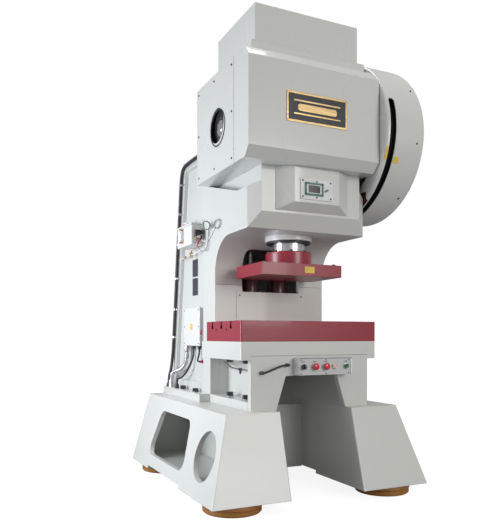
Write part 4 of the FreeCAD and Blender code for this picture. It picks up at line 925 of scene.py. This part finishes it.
def terminal_box():
    low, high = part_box("terminal_box")
    body = box_piece("terminal_case", (low.x + 0.012, low.y + 0.005, low.z + 0.005),
                     (high.x, high.y - 0.005, high.z - 0.005), "box_paint", bevel=0.003)
    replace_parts(body, "terminal_box")
    box_piece("terminal_lid", low, (low.x + 0.0115, high.y, high.z), "box_paint", bevel=0.0035,
              segments=3)
    screws("terminal_screws",
           [(low.x, y, z) for y in (low.y + 0.016, high.y - 0.016)
            for z in (low.z + 0.016, (low.z + high.z) / 2, high.z - 0.016)], -X, 0.0045)
    form = bmesh.new()
    middle = (low.z + high.z) / 2
    add_box(form, (low.x - 0.0008, (low.y + high.y) / 2 - 0.022, middle - 0.02),
            (low.x + 0.001, (low.y + high.y) / 2 + 0.022, middle + 0.02))
    piece("terminal_blank_label", form, "label_yellow", "box_paint")
    form = bmesh.new()
    foot = (low.x + 0.008, low.y - 0.004, low.z + 0.075)
    add_rod(form, 0.005, 0.03, foot, Vector((0, -0.3, 1)), 12)
    piece("terminal_red_tag", form, "red_tube", "button_red", bevel=0.0006)


def spec_plates():
    """Two plain rating plates in the side recess, left blank."""
    form = bmesh.new()
    rivets = bmesh.new()
    x = -0.365
    for z0, z1 in ((1.215, 1.333), (1.343, 1.461)):
        y0 = press(0, 860, 0).y
        y1 = press(0, 960, 0).y
        add_box(form, (x - 0.0018, y0, z0), (x + 0.001, y1, z1))
        for y in (y0 + 0.006, y1 - 0.006):
            for z in (z0 + 0.006, z1 - 0.006):
                add_screw(rivets, (x - 0.0018, y, z), -X, 0.0025)
    piece("blank_rating_plates", form, "plate_blue_grey", "machined_steel", bevel=0.0005)
    piece("rating_plate_rivets", rivets, "pale_metal", "machined_steel")


def ribbed_conduit(name, points, radius):
    """Flexible metal conduit with a raised rib every few millimetres."""
    line = centre_line(points)
    spaced = [line[0]]
    step = 0.0022
    for a, b in zip(line, line[1:]):
        gap = (b - a).length
        if gap < 1e-9:
            continue
        count = max(1, round(gap / step))
        spaced += [a.lerp(b, (k + 1) / count) for k in range(count)]
    form = bmesh.new()
    rings = []
    side = None
    for i, point in enumerate(spaced):
        ahead = spaced[min(i + 1, len(spaced) - 1)] - spaced[max(i - 1, 0)]
        ahead.normalize()
        if side is None:
            side = X.cross(ahead).normalized()
        side = (side - ahead * side.dot(ahead)).normalized()
        other = ahead.cross(side)
        r = radius * (1.0 if i % 3 else 0.87)
        rings.append([form.verts.new(point + (side * math.cos(t) + other * math.sin(t)) * r)
                      for t in [2 * math.pi * k / 24 for k in range(24)]])
    for a, b in zip(rings, rings[1:]):
        for i in range(24):
            j = (i + 1) % 24
            form.faces.new([a[i], a[j], b[j], b[i]])
    form.faces.new(rings[0][::-1])
    form.faces.new(rings[-1])
    return piece(name, form, "metal_conduit", angle=75.0)


def cables():
    conduit = ribbed_conduit("steel_conduit", route(
        (-400, 978, 836), (-400, 978, 792), (-403, 1006, 742), (-410, 1072, 706),
        (-418, 1148, 690), (-427, 1204, 676), (-428, 1225, 648), (-428, 1225, 622)), 0.015)
    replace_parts(conduit, "flexible_conduit")
    main = cord("control_cable", route(
        (-379, 905, 850), (-379, 905, 812), (-391, 913, 766), (-404, 940, 716),
        (-416, 985, 672), (-424, 1040, 644), (-428, 1088, 642), (-428, 1105, 625),
        (-428, 1105, 600)), 0.0065, "black_rubber")
    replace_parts(main, "control_cables")
    cord("short_cable", route(
        (-379, 800, 850), (-379, 800, 824), (-389, 791, 800), (-401, 776, 782),
        (-406, 757, 772), (-397, 742, 770), (-377, 742, 770)), 0.006, "black_rubber")
    cord("front_cable", route(
        (-327, -12, 735), (-327, -30, 735), (-312, -40, 740), (-288, -47, 750),
        (-258, -50, 762), (-228, -48, 772), (-198, -43, 777), (-166, -32, 776),
        (-166, -12, 776)), 0.006, "black_rubber")
    hose = cord("hose_bundle", route(
        (-404, 603, 2118), (-404, 700, 2118), (-405, 840, 2121), (-404, 960, 2120),
        (-404, 1045, 2112), (-404, 1085, 2060), (-404, 1105, 1900), (-404, 1136, 1700),
        (-406, 1166, 1480), (-404, 1201, 1250), (-405, 1232, 1020), (-404, 1258, 840),
        (-410, 1285, 700), (-428, 1285, 640), (-428, 1285, 600)), 0.011, "black_rubber")
    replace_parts(hose, "hose_bundle")


def hose_clips():
    """Bent strips that hold the hose along the rear edge of the side plate."""
    form = bmesh.new()
    screws = bmesh.new()
    for y, z in ((1092, 2000), (1118, 1800), (1150, 1590), (1186, 1350), (1217, 1130),
                 (1245, 930)):
        middle = press(-404, y, z)
        add_ring(form, 0.0135, 0.0108, middle - Z * 0.007, Z, 0.014, 24)
        add_box(form, (middle.x + 0.008, middle.y - 0.034, middle.z - 0.007),
                (middle.x + 0.014, middle.y - 0.008, middle.z + 0.007))
        add_screw(screws, (middle.x + 0.008, middle.y - 0.024, middle.z), -X, 0.0045)
    piece("hose_clips", form, "pale_metal", "machined_steel", bevel=0.0006)
    piece("hose_clip_screws", screws, "pale_metal", "machined_steel")


def add_gland(form, seat, axis, corner):
    """Cable gland: hexagon body, dome nut with a rounded mouth."""
    add_hex(form, seat, axis, corner, 0.012, False)
    profile = [(0, 0.012), (corner * 0.9, 0.012), (corner * 0.92, 0.019), (corner * 0.82, 0.026),
               (corner * 0.7, 0.028), (0, 0.028)]
    add_turned(form, profile, seat, axis, 20)


def glands():
    form = bmesh.new()
    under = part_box("terminal_box")[0].z + 0.005
    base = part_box("base_flanges")[1].z
    for x, y, z, axis, corner in ((-379, 905, under, -Z, 0.013), (-379, 800, under, -Z, 0.012),
                                  (-428, 1105, base, Z, 0.015), (-428, 1285, base, Z, 0.020)):
        place = press(x, y, 0)
        add_gland(form, (place.x, place.y, z), axis, corner)
    add_gland(form, press(-327, 0, 735), -Y, 0.011)
    add_gland(form, press(-166, 0, 776), -Y, 0.011)
    made = piece("nylon_glands", form, "button_black", "black_rubber", bevel=0.0006)
    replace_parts(made, "cable_glands")
    form = bmesh.new()
    top = press(-400, 978, 832)
    add_turned(form, [(0, 0), (0.018, 0), (0.020, 0.006), (0.020, 0.018), (0.0235, 0.02),
                      (0.0235, 0.030), (0.019, 0.032), (0.019, 0.041), (0, 0.041)], top, Z, 32)
    foot = press(-428, 1225, 0)
    add_turned(form, [(0, 0), (0.024, 0), (0.024, 0.018), (0.0205, 0.02), (0.0205, 0.046),
                      (0.018, 0.052), (0, 0.052)], (foot.x, foot.y, base), Z, 32)
    piece("conduit_ferrules", form, "pale_metal", "machined_steel", bevel=0.0008)
    form = bmesh.new()
    add_turned(form, [(0, 0), (0.011, 0), (0.011, 0.012), (0.0095, 0.03), (0, 0.03)],
               press(-363, 742, 770), -X, 20)
    piece("short_cable_plug", form, "red_tube", "button_red", bevel=0.0008)


# ---- operator controls --------------------------------------------------------------------
def control_panel():
    low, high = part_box("control_box")
    back = high.y
    face = back - FACE_DEPTH
    case = box_piece("control_case", (low.x, face + 0.006, low.z), (high.x, back, high.z),
                     "frame_paint", bevel=0.004, segments=3)
    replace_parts(case, "control_box")
    form = bmesh.new()
    rounded_plate(form, (low.x + 0.001, face, low.z + 0.001),
                  (high.x - 0.016, face + 0.006, high.z - 0.006), 0.003)
    piece("control_plate", form, "panel_steel", bevel=0.0008)
    box_piece("control_side_strip", (high.x - 0.013, face - 0.002, low.z + 0.006),
              (high.x - 0.003, face + 0.006, high.z - 0.012), "white_plastic", "panel_steel",
              bevel=0.001)
    # painted shadow: dark strip along the top edge of the control plate
    box_piece("control_top_gap_shade", (low.x + 0.002, face + 0.001, high.z - 0.0055),
              (high.x - 0.004, face + 0.0062, high.z - 0.0025), "seam", "panel_steel")
    screws("control_plate_screws",
           [(x, face, z) for x in (low.x + 0.009, (low.x + high.x) / 2 - 0.004, high.x - 0.026)
            for z in (low.z + 0.009, high.z - 0.013)], -Y, 0.0036)
    return face


def operator_places():
    """Centre of each operator on the panel, from the CAD nodes."""
    found = {}
    for name in ("selector_knob", "stop_button_left", "stop_button_right", "start_button"):
        low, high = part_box(name)
        found[name] = (low + high) / 2
    return found


def operator_form(node, profile, count):
    """Turned head in a control's place, with its stem down to the back of the CAD node."""
    low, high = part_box(node)
    middle = (low + high) / 2
    form = bmesh.new()
    stem = [(0.0086, high.y - low.y), (0, high.y - low.y)]
    add_turned(form, profile + stem, (middle.x, low.y, middle.z), Y, count)
    return form


def operators(face):
    places = operator_places()
    lamp_x = (places["stop_button_right"].x + places["start_button"].x) / 2 - 0.009
    level = places["stop_button_left"].z
    collars = bmesh.new()
    for x in [p.x for p in places.values()] + [lamp_x]:
        profile = [(0.0092, 0.0), (0.017, 0.0), (0.0172, 0.003), (0.015, 0.0055), (0.0108, 0.006),
                   (0.0092, 0.005), (0.0092, 0.0)]
        add_turned(collars, profile, (x, face, level), -Y, 40)
    piece("operator_collars", collars, "pale_metal", "machined_steel")
    labels = bmesh.new()
    for x in [p.x for p in places.values()]:
        add_box(labels, (x - 0.012, face - 0.0004, level + 0.0255),
                (x + 0.012, face + 0.001, level + 0.0295))
    piece("blank_operator_labels", labels, "plate_blue_grey", "panel_steel")

    mushroom = [(0, 0), (0.009, 0.0002), (0.0145, 0.0016), (0.0185, 0.0045), (0.0200, 0.0085),
                (0.0192, 0.0122), (0.0165, 0.0138), (0.0088, 0.0142)]
    for name, body in (("stop_button_left", "stop_left"), ("stop_button_right", "stop_right")):
        form = operator_form(name, mushroom, 48)
        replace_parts(piece(name + "_cap", form, "button_red", body=body), name)

    flat = [(0, 0.0010), (0.009, 0.0006), (0.0118, 0.0002), (0.013, 0.0016), (0.0132, 0.0068),
            (0.0086, 0.007)]
    form = operator_form("start_button", flat, 44)
    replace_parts(piece("start_cap", form, "button_green", body="start"), "start_button")

    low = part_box("selector_knob")[0]
    place = places["selector_knob"]
    base = [(0, 0.010), (0.0125, 0.010), (0.0145, 0.0115), (0.0152, 0.0155), (0.0152, 0.022),
            (0.0086, 0.024)]
    form = operator_form("selector_knob", base, 40)
    add_box(form, (place.x - 0.0045, low.y, place.z - 0.0138),
            (place.x + 0.0045, low.y + 0.012, place.z + 0.0138))
    knob = piece("selector_grip", form, "button_black", body="selector", bevel=0.001)
    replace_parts(knob, "selector_knob")
    box_piece("selector_mark", (place.x - 0.001, low.y - 0.0004, place.z + 0.002),
              (place.x + 0.001, low.y + 0.002, place.z + 0.0125), "white_plastic", "button_black",
              "selector")

    form = bmesh.new()
    profile = [(0, -0.0128), (0.006, -0.0122), (0.0095, -0.0105), (0.0108, -0.008),
               (0.0108, 0.004), (0, 0.004)]
    add_turned(form, profile, (lamp_x, face, level), Y, 36)
    piece("pilot_lens", form, "lamp_lens", "brass_trim")
    form = bmesh.new()
    add_ring(form, 0.0145, 0.0108, (lamp_x, face, level), -Y, 0.009, 36)
    piece("pilot_rim", form, "pale_metal", "machined_steel", bevel=0.0008)


# ---- slide, drive and rear ----------------------------------------------------------------
def slide_trim():
    low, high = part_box("slide")
    plate_top = press(0, 0, 1365).z
    box_piece("slide_blank_label", (0.012, low.y - 0.0008, low.z + 0.018),
              (0.078, low.y + 0.001, low.z + 0.056), "label_yellow", "red_paint", "ram")
    form = bmesh.new()
    for x in (low.x + 0.035, high.x - 0.035):
        for y in (low.y + 0.035, high.y - 0.035):
            add_hex(form, (x, y, plate_top), Z, 0.011, 0.009)
    piece("slide_plate_screws", form, "black_bolts", body="ram")
    middle = (low + high) / 2
    form = bmesh.new()
    for i in range(8):
        turn = math.radians(22.5 + 45 * i)
        seat = (middle.x + 0.122 * math.cos(turn), middle.y + 0.122 * math.sin(turn), high.z)
        add_turned(form, [(0, 0), (0.010, 0), (0.010, 0.0095), (0.009, 0.0105), (0.006, 0.0105),
                          (0.0055, 0.006), (0, 0.006)], seat, Z, 20)
    piece("boss_cap_screws", form, "black_bolts", body="ram")


def air_cylinders():
    """Two red air cylinders with dark end caps and steel rods behind the throat window."""
    low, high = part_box("air_cylinders")
    centre_y = press(0, 602, 0).y
    bed_top = press(0, 0, 908).z
    tubes = bmesh.new()
    caps = bmesh.new()
    rods = bmesh.new()
    for x in (-0.104, 0.104):
        foot = (x, centre_y, bed_top)
        add_turned(tubes, [(0, 0.03), (0.0535, 0.03), (0.0535, 0.405), (0, 0.405)], foot, Z, 48)
        for start in (0.0, 0.402):
            add_turned(caps, [(0, start), (0.0565, start), (0.0565, start + 0.03),
                              (0, start + 0.03)], foot, Z, 48)
        add_turned(rods, [(0, 0.43), (0.0198, 0.43), (0.0198, high.z - bed_top),
                          (0, high.z - bed_top)], foot, Z, 32)
    shelf = bmesh.new()
    add_box(shelf, (low.x, press(0, 580, 0).y, bed_top - 0.03), (high.x, high.y, bed_top))
    made = piece("air_cylinder_tubes", tubes, "dark_red_paint")
    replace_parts(made, "air_cylinders")
    piece("air_cylinder_caps", caps, "button_black", "dark_red_paint", bevel=0.002)
    piece("air_cylinder_rods", rods, "machined_steel")
    piece("air_cylinder_shelf", shelf, "dark_red_paint", bevel=0.002)


def wall_y(z):
    """Depth of the leaning rear wall at a height, both in press() millimetres."""
    return WALL_TOP_Y + (WALL_TOP_Z - z) * WALL_SLOPE


def motor_shell():
    """Finned motor housing with end bells, fan cowl, foot and terminal case."""
    low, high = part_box("motor")
    rotor_low, rotor_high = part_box("motor_rotor")
    centre_y = (rotor_low.y + rotor_high.y) / 2
    centre_z = (rotor_low.z + rotor_high.z) / 2
    west = low.x
    east = high.x
    length = east - west
    form = bmesh.new()
    profile = [(0, 0.0), (0.06, 0.0), (0.105, 0.006), (0.122, 0.02), (0.123, 0.075), (0.116, 0.08),
               (0.112, 0.082), (0.112, length - 0.05), (0.120, length - 0.045),
               (0.120, length - 0.02), (0.09, length - 0.006), (0.05, length), (0.0222, length),
               (0.0222, length - 0.08), (0, length - 0.08)]
    add_turned(form, profile, (west, centre_y, centre_z), X, 64)
    shell = piece("motor_housing", form, "motor_paint")
    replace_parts(shell, "motor")
    form = bmesh.new()
    for i in range(36):
        turn = 2 * math.pi * i / 36
        out = Vector((0, math.cos(turn), math.sin(turn)))
        along = out.cross(X) * 0.0014
        base = Vector((0, centre_y, centre_z)) + out * 0.110
        tip = Vector((0, centre_y, centre_z)) + out * 0.1245
        corners = [base - along, base + along, tip + along, tip - along]
        add_prism(form, [c + X * (west + 0.088) for c in corners],
                  [c + X * (east - 0.058) for c in corners])
    piece("motor_fins", form, "motor_paint")
    form = bmesh.new()
    add_box(form, (west + 0.12, centre_y - 0.06, centre_z + 0.105),
            (east - 0.12, centre_y + 0.06, high.z - 0.02))
    add_box(form, (west + 0.115, centre_y - 0.065, high.z - 0.018),
            (east - 0.115, centre_y + 0.065, high.z))
    piece("motor_terminal_case", form, "motor_paint", bevel=0.003)
    form = bmesh.new()
    wall = [press(0, wall_y(z), z) for z in (1750, 2050)]
    outline = [(point.y, point.z) for point in wall]
    outline += [(centre_y - 0.13, point.z) for point in wall[::-1]]
    add_prism(form, [(west + 0.04, y, z) for y, z in outline],
              [(east - 0.04, y, z) for y, z in outline])
    add_box(form, (west + 0.06, centre_y - 0.13, centre_z - 0.1),
            (east - 0.06, centre_y - 0.118, centre_z + 0.1))
    for x in (west + 0.075, east - 0.105):
        for z in (centre_z - 0.085, centre_z + 0.055):
            add_box(form, (x, centre_y - 0.12, z), (x + 0.03, centre_y - 0.07, z + 0.03))
    piece("motor_bracket", form, "frame_paint", bevel=0.002)


def rear_panels():
    """Access panel with screws and a louvre on the leaning rear wall."""
    def wall(x, z, out):
        """Point out metres behind the rear wall."""
        normal = Vector((0, 1, WALL_SLOPE)).normalized()
        return press(x, wall_y(z), z) + normal * out

    def slab(form, x0, x1, z0, z1, thick, lift=0.0):
        corners = ((x0, z0), (x1, z0), (x1, z1), (x0, z1))
        add_prism(form, [wall(x, z, lift) for x, z in corners],
                  [wall(x, z, lift + thick) for x, z in corners])

    form = bmesh.new()
    slab(form, -270, 270, 760, 1500, 0.004)
    piece("rear_access_panel", form, "cover_paint", bevel=0.0012)
    form = bmesh.new()
    for x in (-250, 0, 250):
        for z in (780, 1130, 1480):
            if x or z != 1130:
                add_screw(form, wall(x, z, 0.004), Vector((0, 1, WALL_SLOPE)), 0.0062)
    piece("rear_panel_screws", form, "black_bolts")
    form = bmesh.new()
    for i in range(9):
        z = 1340 - 26 * i
        slab(form, -140, 140, z, z + 12, 0.008, 0.004)
    piece("rear_louvres", form, "cover_paint", bevel=0.003)


def housing_trim():
    """Fold lines, a painted shade line at the joint, and screws of the top housing and plinth."""
    low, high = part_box("top_housing")
    form = bmesh.new()
    for y in (low.y + 0.03, (low.y + high.y) / 2, high.y - 0.03):
        for x, way in ((low.x, -X), (high.x, X)):
            add_screw(form, (x, y, low.z + 0.018), way, 0.005)
    piece("housing_screws", form, "black_bolts")
    # painted shade: dark band along the joint at the foot of the top housing
    box_piece("housing_joint_shade", (low.x - 0.0005, low.y - 0.0005, low.z + 0.0002),
              (high.x + 0.0005, high.y + 0.0005, low.z + 0.0016), "seam", "cover_paint")
    form = bmesh.new()
    for i in range(12):
        z = low.z + 0.05 + 0.011 * i
        add_box(form, (low.x + 0.12, high.y - 0.001, z),
                (high.x - 0.12, high.y + 0.003, z + 0.005))
    piece("housing_rear_louvres", form, "cover_paint", bevel=0.001)


paint_cad_nodes()
studio()
camera()
cover_trim()
side_hole()
name_plate()
display()
guard_trim()
throat_trim()
air_cylinders()
bed_seam()
bolt_groups()
weld_beads()
bed_pipes()
pads()
lubricator()
sight_gauge()
valve()
air_lines()
oil_line()
terminal_box()
spec_plates()
cables()
hose_clips()
glands()
operators(control_panel())
slide_trim()
motor_shell()
rear_panels()
housing_trim()
